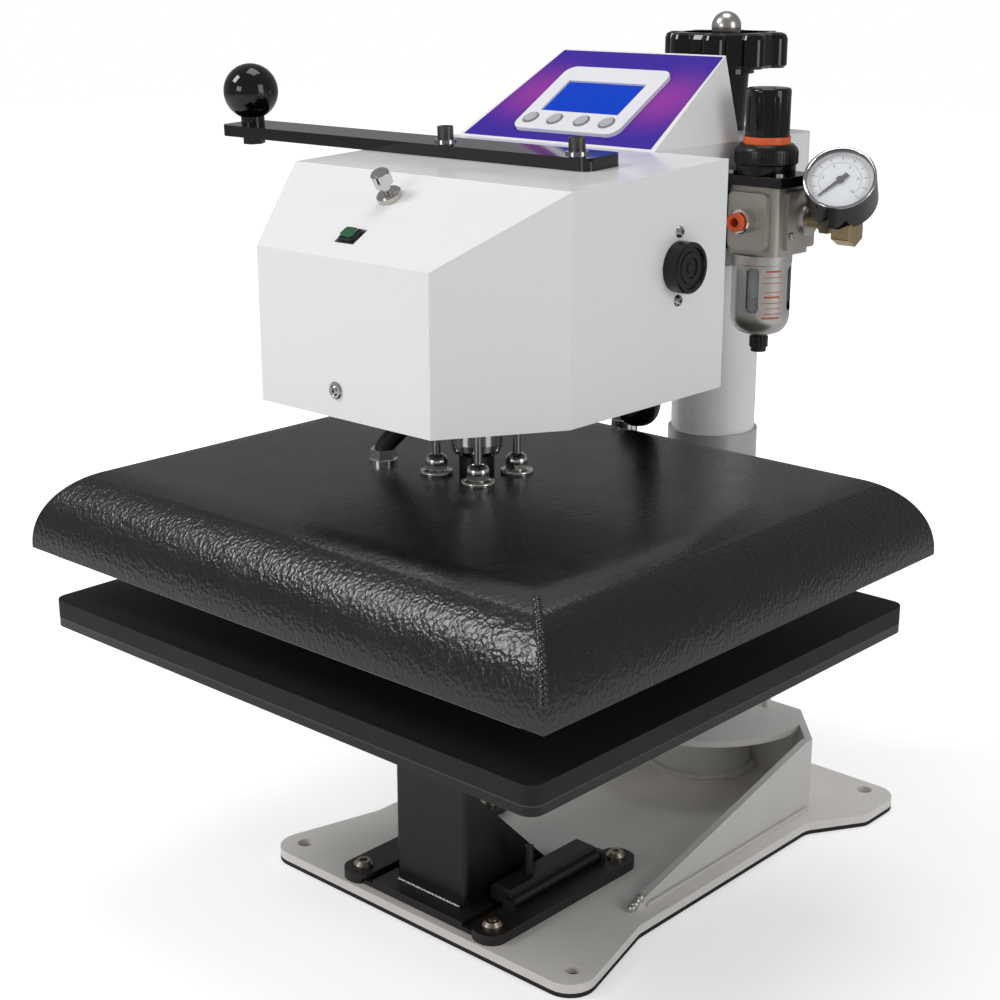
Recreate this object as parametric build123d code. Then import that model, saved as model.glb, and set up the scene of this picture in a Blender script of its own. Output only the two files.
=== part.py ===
"""Pneumatic swing-away heat press.

Millimetres, +Z up. The origin lies on the floor under the centre of the lower table,
the operator stands on the -Y side and the post stands on the +Y side.
"""
import math
import os

from build123d import *

# Base plate and mat
MAT_T = 3.0
PLATE_T = 6.0
BASE_FRONT = -72.0
BASE_REAR = 303.0
BASE_FRONT_HALF = 147.0
BASE_WAIST_HALF = 112.0
BASE_WAIST_FRONT = 38.0
BASE_WAIST_REAR = 205.0
BASE_EAR_HALF = 150.0
BASE_EAR_Y = 262.0
BOLT_R = 5.5
BOLT_HALF_X = 120.2
BOLT_FRONT = -45.3
BOLT_REAR = 285.7
DECK = MAT_T + PLATE_T

# Post and its supports
POST_Y = 248.0
GUSSET_HALF = 106.0
GUSSET_T = 5.0
GUSSET_FRONT = 36.0
GUSSET_TOP = 62.0
GUSSET_TOP_Y = 226.0
GUSSET_FOLD_Y = 234.0
GUSSET_REAR_Y = 273.0
GUSSET_REAR_HALF = 70.5
GUSSET_TOE_Z = 13.0
FLANGE_T = 5.0
FLANGE_R = 85.0
PEG_X = 48.0
PEG_Y = 262.0
PEG_R = 3.0
PEG_H = 13.0
SOCKET_R = 37.0
WELD_W = 4.0
TUBE_R = 29.7
TUBE_WALL = 2.0
SLEEVE_GAP = 0.3
SLEEVE_WALL = 1.8
SLEEVE_TOP = 271.0
CORE_R = 24.0
CORE_TOP = 440.0
RUN = 0.05
BUSH_BOTTOM = 300.0
BUSH_H = 40.0
TUBE_BOTTOM = 40.0
SCREW_R = 8.0
SCREW_BOTTOM = 330.0

# Sliding table
RAIL_X = 58.0
RAIL_W = 24.0
RAIL_FRONT = -62.0
RAIL_REAR = 85.0
RAIL_T = 7.0
RAIL_LIP_Z = 3.5
RAIL_GROOVE = 4.0
SLIDE_GAP = 0.3
RAIL_SCREW_FRONT = -49.4
RAIL_SCREW_REAR = 72.9
SLED_HALF = 40.0
SLED_FRONT = -58.0
SLED_REAR = 38.0
SLED_T = 6.0
SLED_HOLE_X = 19.5
SLED_HOLE_Y = 22.0
SLED_HOLE_R = 2.5
PEDESTAL_HALF = 31.0
PEDESTAL_FRONT = -45.0
PEDESTAL_D = 12.0
PEDESTAL_WALL = 4.0
PEDESTAL_TOP = 180.0
BRACKET_T = 6.0
BRACKET_REAR = 60.0
RIB_H = 73.0
TABLE_W = 406.4
TABLE_D = 355.6
TABLE_CORNER = 20.0
TABLE_PLATE_T = 5.5
PAD_T = 11.8

# Lock bar beside the sled
LOCK_X0 = 34.0
LOCK_X1 = 52.0
LOCK_Y0 = -25.0
LOCK_Y1 = 60.0
LOCK_H = 10.7
LOCK_LIFT = 0.3
LOCK_PIN_R = 1.6
LOCK_EYE_R = 3.2
LOCK_PEG_X = 43.0
LOCK_PEG_Y = 2.0
LOCK_PEG_H = 19.0
LOCK_PEG_R = 3.0

# Heated platen
PLATEN_Z = 233.0
PLATEN_T = 20.0
COVER_SIDE_GAP = 11.0
COVER_FRONT_GAP = 4.7
COVER_REAR_GAP = 11.1
COVER_HALF = TABLE_W / 2 + COVER_SIDE_GAP
COVER_FRONT = -TABLE_D / 2 - COVER_FRONT_GAP
COVER_REAR = TABLE_D / 2 + COVER_REAR_GAP
COVER_BOTTOM = 236.0
COVER_TOP = 288.0
COVER_ROLL = 50.0
SHEET = 1.5
STUD_XY = 17.5
STUD_R = 2.5
STUD_TOP = 346.0
BOSS_R = 14.0
NUT_FLANGE_R = 9.6
NUT_HEX = 12.0
NUT_H = 11.0
COUPLING_R = 11.0
COUPLING_H = 12.0
RAM_R = 16.3
RAM_GAP = 0.06
PISTON_R = 25.95
PISTON_Z = 414.0
PISTON_H = 16.0
LEAD_R = 6.0
LEAD_BEND = 12.0
GLAND_R = 9.0
GLAND_H = 9.0

# Head
HEAD_BOTTOM = 342.5
HEAD_FRONT = -110.9
HEAD_FRONT_HALF = 69.6
HEAD_BROW_Z = 434.0
HEAD_CREST_Y = -42.7
HEAD_CREST_Z = 473.7
HEAD_HALF = 111.0
HEAD_REAR = 99.0
HEAD_REAR_Z = 480.0
CYL_R = 32.0
CYL_BORE = 26.0
CYL_BOTTOM = 350.0
CYL_END = 12.0
FRAME_HALF = 46.0
FRAME_FRONT = -45.0
FRAME_Z0 = 400.0
FRAME_Z1 = 452.0
FRAME_T = 6.0
ARM_HALF = 55.0
ARM_REAR = 283.0
ARM_Z0 = 400.0
ARM_Z1 = 480.0
ARM_WALL = 4.0
ARM_CORNER = 16.0

# Handle
BAR_X0 = -252.0
BAR_X1 = 74.0
BAR_Y = 30.0
BAR_W = 32.0
BAR_T = 7.5
BALL_R = 18.5
BALL_X = -236.0
CAP_X = 53.0
CAP_R = 5.0
CAP_H = 8.0

# Control box
BOX_X0 = -109.0
BOX_X1 = 56.0
BOX_REAR = 188.0
BOX_TOP = 533.0
BOX_TOP_X0 = -91.0
BOX_TOP_X1 = 43.0
BEZEL_U = -24.5
BEZEL_V = 44.5
BEZEL_W = 87.0
BEZEL_H = 70.0
BEZEL_T = 3.0
LCD_V = 46.5
LCD_W = 64.5
LCD_H = 34.0
KEY_U = (-58.5, -38.0, -15.5, 5.0)
KEY_V = 20.8
KEY_R = 4.6
KEY_GAP = 0.3
KEY_STROKE = 0.6

# Valves on the head
VALVE_X = -8.0
VALVE_S = 56.0
COLLAR_R = 7.5
COLLAR_H = 4.0
KNOB_R = 5.5
KNOB_H = 9.0
KNOB_GAP = 5.0
STEM_R = 2.5
BUTTON_S = 19.7
BUTTON_W = 13.0
BUTTON_H = 11.0
BUTTON_OUT = 4.0
BUTTON_RIM = 2.6
SOUNDER_Y = 53.0
SOUNDER_Z = 422.0
SOUNDER_R = 15.0
SOUNDER_H = 10.0
COVER_SCREW_DZ = 20.0
COVER_SCREW_R = 3.6

# Air regulator and gauge
REG_X = 78.5
REG_Y = 186.0
REG_HALF = 19.5
REG_FRONT = 167.0
REG_REAR = 211.0
REG_Z0 = 411.0
REG_Z1 = 455.0
REG_FLANGE = 44.0
REG_FLANGE_T = 6.5
BONNET_R = 19.8
BONNET_H = 19.0
RING_R = 15.0
RING_H = 4.5
REG_KNOB_R = 14.2
REG_KNOB_H = 29.7
GUARD_R = 19.0
GUARD_BOTTOM = 359.0
GUARD_WALL = 1.8
DRAIN_R = 6.5
DRAIN_H = 12.0
INLET_X = 78.0
INLET_Z = 433.5
INLET_R = 7.75
COLLET_R = 6.0
HOSE_R = 3.0
ELBOW_X = 130.0
ELBOW_Y = 200.0
ELBOW_Z = 433.0
NIPPLE_R = 5.0
GAUGE_AT = (132.0, 188.0, 463.0)
GAUGE_AZ = 25.0
GAUGE_EL = 40.0
GAUGE_R = 22.5
GAUGE_D = 24.0
GAUGE_RECESS = 4.0

# Handwheel
WHEEL_R = 42.0
WHEEL_LOBES = 8
WHEEL_Z0 = 522.0
WHEEL_Z1 = 545.0
WHEEL_BOSS_R = 19.7
NECK_TOP_R = 16.3
NECK_FOOT_R = 14.6
WHEEL_BALL_R = 10.0


def block(x0, x1, y0, y1, z0, z1):
    """Box between six limits."""
    centre = ((x0 + x1) / 2, (y0 + y1) / 2, (z0 + z1) / 2)
    return Pos(*centre) * Box(x1 - x0, y1 - y0, z1 - z0)


def disc(x, y, r, z0, z1):
    """Upright cylinder from z0 to z1."""
    return Pos(x, y, (z0 + z1) / 2) * Cylinder(r, z1 - z0)


def rod(start, end, r):
    """Cylinder between two points."""
    a = Vector(*start)
    b = Vector(*end)
    length = (b - a).length
    return Plane(origin=a, z_dir=(b - a)) * Pos(0, 0, length / 2) * Cylinder(r, length)


def tube(x, y, r_out, r_in, z0, z1):
    """Upright pipe from z0 to z1."""
    return disc(x, y, r_out, z0, z1) - disc(x, y, r_in, z0 - 1, z1 + 1)


def prism(points, z0, z1):
    """Polygon in the ground plane raised from z0 to z1."""
    face = make_face(Polyline(*points, close=True))
    return Pos(0, 0, z0) * extrude(face, z1 - z0)


def side_prism(points, x0, x1):
    """Polygon given as (y, z) pairs, spread along X from x0 to x1."""
    wire = Polyline(*[(x0, y, z) for y, z in points], close=True)
    return extrude(make_face(wire), x1 - x0, dir=(1, 0, 0))


def front_prism(points, y0, y1):
    """Polygon given as (x, z) pairs, spread along Y from y0 to y1."""
    wire = Polyline(*[(x, y0, z) for x, z in points], close=True)
    return extrude(make_face(wire), y1 - y0, dir=(0, 1, 0))


def hexagon(across, height):
    """Hexagonal prism standing on the local ground plane."""
    return extrude(RegularPolygon(across / math.sqrt(3), 6), height)


def turned(points, x=0.0, y=0.0):
    """Solid of revolution about an upright axis from (radius, z) pairs."""
    wire = Polyline(*[(r, 0, z) for r, z in points], close=True)
    return Pos(x, y, 0) * revolve(make_face(wire), Axis.Z)


def upright_edges(shape):
    return shape.edges().filter_by(Axis.Z)


def mirrored_pair(shape):
    """A shape together with its mirror image across the middle plane."""
    return [shape, mirror(shape, Plane.YZ)]


def joined(shapes):
    """Separate solids kept in one file."""
    solids = [s for shape in shapes for s in shape.solids()]
    return Compound(children=solids)


def base_outline():
    half = [
        (BASE_FRONT_HALF, BASE_FRONT),
        (BASE_WAIST_HALF, BASE_WAIST_FRONT),
        (BASE_WAIST_HALF, BASE_WAIST_REAR),
        (BASE_EAR_HALF, BASE_EAR_Y),
        (BASE_EAR_HALF - 2, BASE_REAR),
    ]
    return half + [(-x, y) for x, y in reversed(half)]


def base_layer(z0, z1):
    """One layer with the waisted outline of the base and its four bolt holes."""
    layer = prism(base_outline(), z0, z1)
    front = upright_edges(layer).sort_by(Axis.Y)[:2]
    layer = fillet(front, 26)
    rest = [e for e in upright_edges(layer) if e.center().Y > BASE_WAIST_FRONT - 5]
    layer = fillet(rest, 15)
    for x in (-BOLT_HALF_X, BOLT_HALF_X):
        for y in (BOLT_FRONT, BOLT_REAR):
            layer -= disc(x, y, BOLT_R, z0 - 1, z1 + 1)
    return layer


def base_mat():
    return base_layer(0, MAT_T)


def base_plate():
    return base_layer(MAT_T, DECK)


def gusset_plan(inset):
    """Plan of the folded gusset, moved inwards by inset."""
    shift = inset * math.tan(math.radians(22.5))
    half = [
        (GUSSET_HALF - inset, GUSSET_FRONT),
        (GUSSET_HALF - inset, GUSSET_FOLD_Y - shift),
        (GUSSET_REAR_HALF - shift, GUSSET_REAR_Y - inset),
    ]
    return half + [(-x, y) for x, y in reversed(half)]


def base_gussets():
    wall = prism(gusset_plan(0), DECK, GUSSET_TOP) - prism(
        [(x, y - (1 if y < GUSSET_FRONT + 1 else 0)) for x, y in gusset_plan(GUSSET_T)],
        DECK - 1,
        GUSSET_TOP + 1,
    )
    slope = [
        (GUSSET_FRONT - 2, GUSSET_TOE_Z),
        (GUSSET_TOP_Y, GUSSET_TOP),
        (GUSSET_TOP_Y, GUSSET_TOP + 2),
        (GUSSET_FRONT - 2, GUSSET_TOP + 2),
    ]
    wall -= disc(0, POST_Y, SOCKET_R + WELD_W, DECK - 1, DECK + WELD_W + 1)
    wall -= disc(0, POST_Y, SOCKET_R, DECK, GUSSET_TOP + 1)
    return wall - side_prism(slope, -GUSSET_HALF - 1, GUSSET_HALF + 1)


def sleeve_radii():
    inner = TUBE_R + SLEEVE_GAP
    return inner, inner + SLEEVE_WALL


def post_socket():
    """Welded socket around the foot of the post, with its trimmed flange and stop peg."""
    r_in = sleeve_radii()[1]
    top = GUSSET_TOP - FLANGE_T
    foot = SOCKET_R + WELD_W
    points = [
        (r_in, DECK),
        (foot, DECK),
        (foot - 1, DECK + 2),
        (SOCKET_R, DECK + WELD_W + 1),
        (SOCKET_R, GUSSET_TOP),
        (r_in, GUSSET_TOP),
    ]
    flange = disc(0, POST_Y, FLANGE_R, top, GUSSET_TOP)
    flange &= prism(gusset_plan(GUSSET_T), top, GUSSET_TOP)
    flange -= disc(0, POST_Y, r_in, top - 1, GUSSET_TOP + 1)
    peg = disc(PEG_X, PEG_Y, PEG_R, top + 1, GUSSET_TOP + PEG_H)
    return turned(points, 0, POST_Y) + flange + peg


def post_sleeve():
    r_in, r_out = sleeve_radii()
    return tube(0, POST_Y, r_out, r_in, DECK, SLEEVE_TOP)


def post_core():
    """Fixed column inside the post, threaded at the top for the lift screw."""
    foot = sleeve_radii()[0] - SLEEVE_GAP
    core = disc(0, POST_Y, CORE_R, DECK, CORE_TOP)
    core += disc(0, POST_Y, foot, DECK, TUBE_BOTTOM - 10)
    return core - disc(0, POST_Y, SCREW_R + RUN, SCREW_BOTTOM - 10, CORE_TOP + 1)


def swing_bush():
    tube_in = TUBE_R - TUBE_WALL
    return tube(0, POST_Y, tube_in - RUN, CORE_R + RUN, BUSH_BOTTOM, BUSH_BOTTOM + BUSH_H)


def post_tube():
    top = ARM_Z1 - ARM_WALL
    return tube(0, POST_Y, TUBE_R, TUBE_R - TUBE_WALL, TUBE_BOTTOM, top)


def lock_axis_z():
    return DECK + RAIL_T + LOCK_LIFT + LOCK_EYE_R


def lock_lug(y0, y1):
    top = lock_axis_z() + LOCK_EYE_R
    lug = block(LOCK_X1 - 3, LOCK_X1 + 4, y0, y1, DECK + RAIL_T - 1, top)
    pin_hole = rod((LOCK_X1, y0 - 1, lock_axis_z()), (LOCK_X1, y1 + 1, lock_axis_z()), LOCK_PIN_R + RUN)
    return lug - pin_hole


def sled_rails():
    """Two guide rails with an undercut that holds the sled down, and the lock bar lugs."""
    x0 = RAIL_X - RAIL_W / 2
    rail = block(x0, RAIL_X + RAIL_W / 2, RAIL_FRONT, RAIL_REAR, DECK, DECK + RAIL_T)
    rail = fillet(upright_edges(rail), RAIL_W / 2 - 1)
    rail -= block(x0 - 1, x0 + RAIL_GROOVE, RAIL_FRONT - 1, RAIL_REAR + 1, DECK - 1, DECK + RAIL_LIP_Z)
    for y in (RAIL_SCREW_FRONT, RAIL_SCREW_REAR):
        rail -= disc(RAIL_X, y, 3, DECK - 1, DECK + RAIL_T + 1)
    left = mirror(rail, Plane.YZ)
    rail += lock_lug(LOCK_Y0 - SLIDE_GAP - 4, LOCK_Y0 - SLIDE_GAP)
    rail += lock_lug(LOCK_Y1 + SLIDE_GAP, LOCK_Y1 + SLIDE_GAP + 4)
    return joined([rail, left])


def rail_screws():
    top = DECK + RAIL_T
    screws = []
    for y in (RAIL_SCREW_FRONT, RAIL_SCREW_REAR):
        points = [(0, DECK), (3, DECK), (3, top), (6.5, top), (6.5, top + 1.6), (4.6, top + 4), (0, top + 4)]
        screw = turned(points, RAIL_X, y)
        screw -= Pos(RAIL_X, y, top + 1.8) * hexagon(5, 4)
        screws += mirrored_pair(screw)
    return joined(screws)


def table_sled():
    """Flat sled whose lower flanges run under the rails."""
    x0 = RAIL_X - RAIL_W / 2
    wing = x0 + RAIL_GROOVE - SLIDE_GAP
    sled = block(-SLED_HALF, SLED_HALF, SLED_FRONT, SLED_REAR, DECK, DECK + SLED_T)
    sled += block(-wing, wing, SLED_FRONT, SLED_REAR, DECK, DECK + RAIL_LIP_Z - SLIDE_GAP)
    for x in (-SLED_HOLE_X, SLED_HOLE_X):
        for y in (-SLED_HOLE_Y, SLED_HOLE_Y):
            sled -= disc(x, y, SLED_HOLE_R, DECK - 1, DECK + SLED_T + 1)
    return sled


def table_pedestal():
    """Upright channel with two foot ribs and a bracket plate under the table."""
    z0 = DECK + SLED_T
    rear = PEDESTAL_FRONT + PEDESTAL_D
    outer = block(-PEDESTAL_HALF, PEDESTAL_HALF, PEDESTAL_FRONT, rear, z0, PEDESTAL_TOP)
    outer = fillet(outer.edges().filter_by(Axis.Z).sort_by(Axis.Y)[:2], 3)
    inner_half = PEDESTAL_HALF - PEDESTAL_WALL
    outer -= block(
        -inner_half, inner_half, PEDESTAL_FRONT + PEDESTAL_WALL, rear + 1, z0 - 1, PEDESTAL_TOP + 1
    )
    ribs = [(rear - 1, z0), (rear - 1, z0 + RIB_H), (rear, z0 + RIB_H), (SLED_REAR - 2, z0 + 3), (SLED_REAR - 2, z0)]
    brace = [(rear - 1, PEDESTAL_TOP), (rear - 1, PEDESTAL_TOP - 45), (rear, PEDESTAL_TOP - 45)]
    brace += [(BRACKET_REAR - 8, PEDESTAL_TOP - 3), (BRACKET_REAR - 8, PEDESTAL_TOP)]
    for points in (ribs, brace):
        for x in (-PEDESTAL_HALF, inner_half):
            outer += side_prism(points, x, x + PEDESTAL_WALL)
    top = block(
        -PEDESTAL_HALF, PEDESTAL_HALF, PEDESTAL_FRONT, BRACKET_REAR, PEDESTAL_TOP, PEDESTAL_TOP + BRACKET_T
    )
    return outer + top


def table_slab(z0, z1):
    slab = block(-TABLE_W / 2, TABLE_W / 2, -TABLE_D / 2, TABLE_D / 2, z0, z1)
    return fillet(upright_edges(slab), TABLE_CORNER)


def table_plate():
    z0 = PEDESTAL_TOP + BRACKET_T
    return table_slab(z0, z0 + TABLE_PLATE_T)


def table_pad():
    z0 = PEDESTAL_TOP + BRACKET_T + TABLE_PLATE_T
    return chamfer(table_slab(z0, z0 + PAD_T).faces().sort_by(Axis.Z)[-1].edges(), 0.8)


def lock_bar():
    """Hinged bar with a peg and two pin ends that turn in the rail lugs."""
    z0 = DECK + RAIL_T + LOCK_LIFT
    bar = block(LOCK_X0, LOCK_X1, LOCK_Y0, LOCK_Y1, z0, z0 + LOCK_H)
    bar = chamfer(bar.faces().sort_by(Axis.Z)[-1].edges(), 2)
    axis_z = lock_axis_z()
    bar += rod((LOCK_X1, LOCK_Y0, axis_z), (LOCK_X1, LOCK_Y1, axis_z), LOCK_EYE_R)
    reach = SLIDE_GAP + 4
    bar += rod((LOCK_X1, LOCK_Y0 - reach, axis_z), (LOCK_X1, LOCK_Y1 + reach, axis_z), LOCK_PIN_R)
    return bar + disc(LOCK_PEG_X, LOCK_PEG_Y, LOCK_PEG_R, z0 + 1, z0 + LOCK_H + LOCK_PEG_H)


def stud_spots():
    return [(x, y) for x in (-STUD_XY, STUD_XY) for y in (-STUD_XY, STUD_XY)]


def heat_platen():
    """Cast heating platen with bosses that carry the cover and the ram."""
    top = PLATEN_Z + PLATEN_T
    under_cover = COVER_TOP - SHEET
    slab = block(-TABLE_W / 2, TABLE_W / 2, -TABLE_D / 2, TABLE_D / 2, PLATEN_Z, top)
    slab = fillet(upright_edges(slab), TABLE_CORNER / 2)
    slab += block(-45, 45, -45, 45, top - 1, top + 10)
    for x, y in stud_spots():
        slab += disc(x, y, BOSS_R, top, under_cover)
        slab -= disc(x, y, STUD_R, top + 12, under_cover + 1)
    return slab


def rolled_shell(inset):
    """Rounded-over cover block, shrunk on all sides by inset."""
    half = COVER_HALF - inset
    y0 = COVER_FRONT + inset
    y1 = COVER_REAR - inset
    roll = COVER_ROLL - inset
    top = COVER_TOP - inset
    foot = COVER_TOP - COVER_ROLL
    steps = 7
    arc = [
        (roll - roll * math.cos(k * math.pi / 2 / steps), foot + roll * math.sin(k * math.pi / 2 / steps))
        for k in range(steps + 1)
    ]
    arc[-1] = (roll, top)
    low = COVER_BOTTOM - (1 if inset else 0)
    right = [(half - u, z) for u, z in arc]
    left = [(-x, z) for x, z in reversed(right)]
    across = front_prism([(half, low)] + right + left + [(-half, low)], y0 - 1, y1 + 1)
    rear = [(y1 - u, z) for u, z in arc]
    front = [(y0 + u, z) for u, z in reversed(arc)]
    along = side_prism([(y1, low)] + rear + front + [(y0, low)], -half - 1, half + 1)
    return across & along


def gland_spots():
    return [(-60.0, -22.0), (-11.0, 160.0)]


def platen_cover():
    """Folded sheet cover with rolled sides and mitred corners, open underneath."""
    cover = rolled_shell(0) - rolled_shell(SHEET)
    for x, y in stud_spots():
        cover -= disc(x, y, STUD_R, COVER_TOP - 5, COVER_TOP + 1)
    return cover


def platen_studs():
    return joined([disc(x, y, STUD_R, PLATEN_Z + PLATEN_T + 12, STUD_TOP) for x, y in stud_spots()])


def levelling_nuts():
    nuts = []
    z = COVER_TOP
    flange = [(STUD_R, z), (NUT_FLANGE_R, z), (NUT_FLANGE_R, z + 1.5), (NUT_FLANGE_R - 3, z + 3), (STUD_R, z + 3)]
    for x, y in stud_spots():
        body = Pos(x, y, z + 2) * hexagon(NUT_HEX, NUT_H - 2)
        body &= turned([(0, z), (7.5, z), (7.5, z + 8), (5.6, z + NUT_H), (0, z + NUT_H)], x, y)
        body -= disc(x, y, STUD_R, z, z + NUT_H + 1)
        nuts.append(turned(flange, x, y) + body)
    return joined(nuts)


def ram_coupling():
    return disc(0, 0, COUPLING_R, COVER_TOP, COVER_TOP + COUPLING_H)


def ram():
    """Chrome ram with a rounded foot, and the piston inside the air cylinder."""
    z0 = COVER_TOP + COUPLING_H
    points = [(0, z0), (RAM_R - 5, z0), (RAM_R - 2, z0 + 1.6), (RAM_R - 0.6, z0 + 4), (RAM_R, z0 + 8)]
    points += [(RAM_R, PISTON_Z), (PISTON_R, PISTON_Z), (PISTON_R, PISTON_Z + PISTON_H), (0, PISTON_Z + PISTON_H)]
    return turned(points)


def lead_paths():
    (fx, fy), (rx, ry) = gland_spots()
    z = COVER_TOP
    front = [(fx, fy, z + 1), (fx, fy, z + 10), (fx + 9, fy + 11, z + 24), (fx + 18, fy + 22, z + 44)]
    front += [(fx + 20, fy + 26, z + 62), (fx + 20, fy + 26, z + 87)]
    rear = [(rx, ry, z + 1), (rx, ry, z + 9), (rx + 13, ry - 1, z + 18), (rx + 26, ry - 5, z + 28)]
    rear += [(rx + 31, ry - 10, z + 46), (rx + 31, ry - 10, z + 147)]
    return front, rear


def heater_leads():
    """Two sleeved leads that ride on the platen and reach up into the head and the arm."""
    leads = []
    for path in lead_paths():
        wire = FilletPolyline(*path, radius=LEAD_BEND)
        section = Plane(origin=path[0], z_dir=(0, 0, 1)) * Circle(LEAD_R)
        leads.append(sweep(section, path=wire))
    return joined(leads)


def lead_glands():
    glands = []
    z = COVER_TOP
    for x, y in gland_spots():
        gland = disc(x, y, GLAND_R, z - 10, z + 2.5) - rolled_shell(0)
        gland += Pos(x, y, z + 2.5) * hexagon(2 * GLAND_R - 3, GLAND_H - 2.5)
        glands.append(gland - disc(x, y, LEAD_R, z + 1, z + GLAND_H + 1))
    return joined(glands)


def head_block(inset):
    """Solid envelope of the head cover, shrunk by inset."""
    lean = (HEAD_CREST_Z - HEAD_BROW_Z) / (HEAD_CREST_Y - HEAD_FRONT)
    side = math.hypot(1, lean)
    flare = (HEAD_HALF - HEAD_FRONT_HALF) / (HEAD_CREST_Y - HEAD_FRONT)
    front_half = HEAD_FRONT_HALF - inset * (math.hypot(1, flare) - flare)
    crest_half = HEAD_HALF - inset
    crest_y = HEAD_FRONT + inset + (crest_half - front_half) / flare
    low = HEAD_BOTTOM - (1 if inset else 0)
    y0 = HEAD_FRONT + inset
    y1 = HEAD_REAR - inset
    plan = [(front_half, y0), (crest_half, crest_y), (crest_half, y1)]
    plan += [(-x, y) for x, y in reversed(plan)]
    rise = (HEAD_REAR_Z - HEAD_CREST_Z) / (HEAD_REAR - HEAD_CREST_Y)
    brow = HEAD_BROW_Z - inset * side + inset * lean
    crest = HEAD_CREST_Z - inset * math.hypot(1, rise)
    top_y = (crest - brow - rise * (HEAD_CREST_Y - y0)) / (lean - rise) + y0
    top_z = brow + lean * (top_y - y0)
    profile = [(y0, low), (y0, brow), (top_y, top_z), (y1, crest + rise * (y1 - HEAD_CREST_Y)), (y1, low)]
    return prism(plan, low, HEAD_REAR_Z + 5) & side_prism(profile, -HEAD_HALF - 1, HEAD_HALF + 1)


def slope_plane(s, x=VALVE_X):
    """Local plane on the sloped brow of the head, s millimetres above its lower edge."""
    run = HEAD_CREST_Y - HEAD_FRONT
    rise = HEAD_CREST_Z - HEAD_BROW_Z
    length = math.hypot(run, rise)
    at = (x, HEAD_FRONT + s * run / length, HEAD_BROW_Z + s * rise / length)
    return Plane(origin=at, x_dir=(1, 0, 0), z_dir=(0, -rise / length, run / length))


def head_cover():
    """Folded white cover over the air cylinder, open underneath and cut out for the arm frame."""
    shell = head_block(0) - head_block(SHEET)
    shell = fillet(shell.edges().filter_by(lambda e: outer_bend(e)), 1.2)
    shell -= block(-FRAME_HALF, FRAME_HALF, HEAD_REAR - 5, HEAD_REAR + 1, FRAME_Z0, FRAME_Z1)
    shell -= slope_plane(VALVE_S) * Pos(0, 0, 0) * Cylinder(COLLAR_R - 2.5, 12)
    shell -= slope_plane(BUTTON_S) * Box(BUTTON_W + BUTTON_RIM, BUTTON_H + BUTTON_RIM, 12)
    return shell


def outer_bend(edge):
    """Front corner bends of the cover, on its outer skin only."""
    c = edge.center()
    upright = abs(edge.tangent_at(0.5).Z) > 0.9
    on_front = abs(c.Y - HEAD_FRONT) < 0.01 and abs(abs(c.X) - HEAD_FRONT_HALF) < 0.01
    on_side = abs(c.Y - HEAD_CREST_Y) < 0.01 and abs(abs(c.X) - HEAD_HALF) < 0.01
    return upright and (on_front or on_side)


def head_frame():
    """Inverted channel carrying the cylinder, fixed to the front of the arm."""
    z_plate = FRAME_Z1 - FRAME_T
    frame = block(-FRAME_HALF, FRAME_HALF, FRAME_FRONT, HEAD_REAR, z_plate, FRAME_Z1)
    for x in (-FRAME_HALF, FRAME_HALF - PEDESTAL_WALL):
        frame += block(x, x + PEDESTAL_WALL, FRAME_FRONT, HEAD_REAR, FRAME_Z0, FRAME_Z1)
    return frame


def air_cylinder():
    top = FRAME_Z1 - FRAME_T
    body = disc(0, 0, CYL_R, CYL_BOTTOM, top)
    body -= disc(0, 0, CYL_BORE, CYL_BOTTOM + CYL_END, top - 8)
    body -= disc(0, 0, 3, top - 9, top + 1)
    return body - disc(0, 0, RAM_R + RAM_GAP, CYL_BOTTOM - 1, CYL_BOTTOM + CYL_END + 1)


def arm_housing():
    """Hollow arm between the head and the post."""
    arm = block(-ARM_HALF, ARM_HALF, HEAD_REAR, ARM_REAR, ARM_Z0, ARM_Z1)
    arm = fillet(arm.edges().filter_by(Axis.Z).sort_by(Axis.Y)[-2:], ARM_CORNER)
    hollow = block(
        -ARM_HALF + ARM_WALL,
        ARM_HALF - ARM_WALL,
        HEAD_REAR + ARM_WALL,
        ARM_REAR - ARM_WALL,
        ARM_Z0 + ARM_WALL,
        ARM_Z1 - ARM_WALL,
    )
    arm -= fillet(hollow.edges().filter_by(Axis.Z).sort_by(Axis.Y)[-2:], ARM_CORNER - ARM_WALL)
    arm -= disc(0, POST_Y, TUBE_R, ARM_Z0 - 1, ARM_Z1 - ARM_WALL)
    arm -= disc(0, POST_Y, SCREW_R + SLIDE_GAP, ARM_Z0, ARM_Z1 + 1)
    lead = lead_paths()[1][-1]
    arm -= disc(lead[0], lead[1], LEAD_R + 2, ARM_Z0 - 1, ARM_Z0 + ARM_WALL + 1)
    return arm - disc(-20, 140, 8, ARM_Z1 - ARM_WALL - 1, ARM_Z1 + 1)


def top_plane(y=BAR_Y):
    """Local plane on the gently rising top of the head."""
    run = HEAD_REAR - HEAD_CREST_Y
    rise = HEAD_REAR_Z - HEAD_CREST_Z
    length = math.hypot(run, rise)
    z = HEAD_CREST_Z + (y - HEAD_CREST_Y) * rise / run
    return Plane(origin=(0, y, z), x_dir=(1, 0, 0), z_dir=(0, -rise / length, run / length))


def handle_bar():
    middle = (BAR_X0 + BAR_X1) / 2
    bar = Pos(middle, 0, BAR_T / 2) * Box(BAR_X1 - BAR_X0, BAR_W, BAR_T)
    bar = fillet(bar.edges().filter_by(Axis.Z), 6)
    return top_plane() * bar


def handle_ball():
    """Ball knob on a collar, with its bolt head under the bar."""
    ball = Pos(0, 0, BAR_T + 3 + BALL_R) * Sphere(BALL_R)
    collar = Pos(0, 0, BAR_T + 4) * Cylinder(8, 8)
    ball += collar
    ball += Pos(0, 0, -6) * hexagon(13, 6)
    return top_plane() * Pos(BALL_X, 0, 0) * ball


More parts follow.
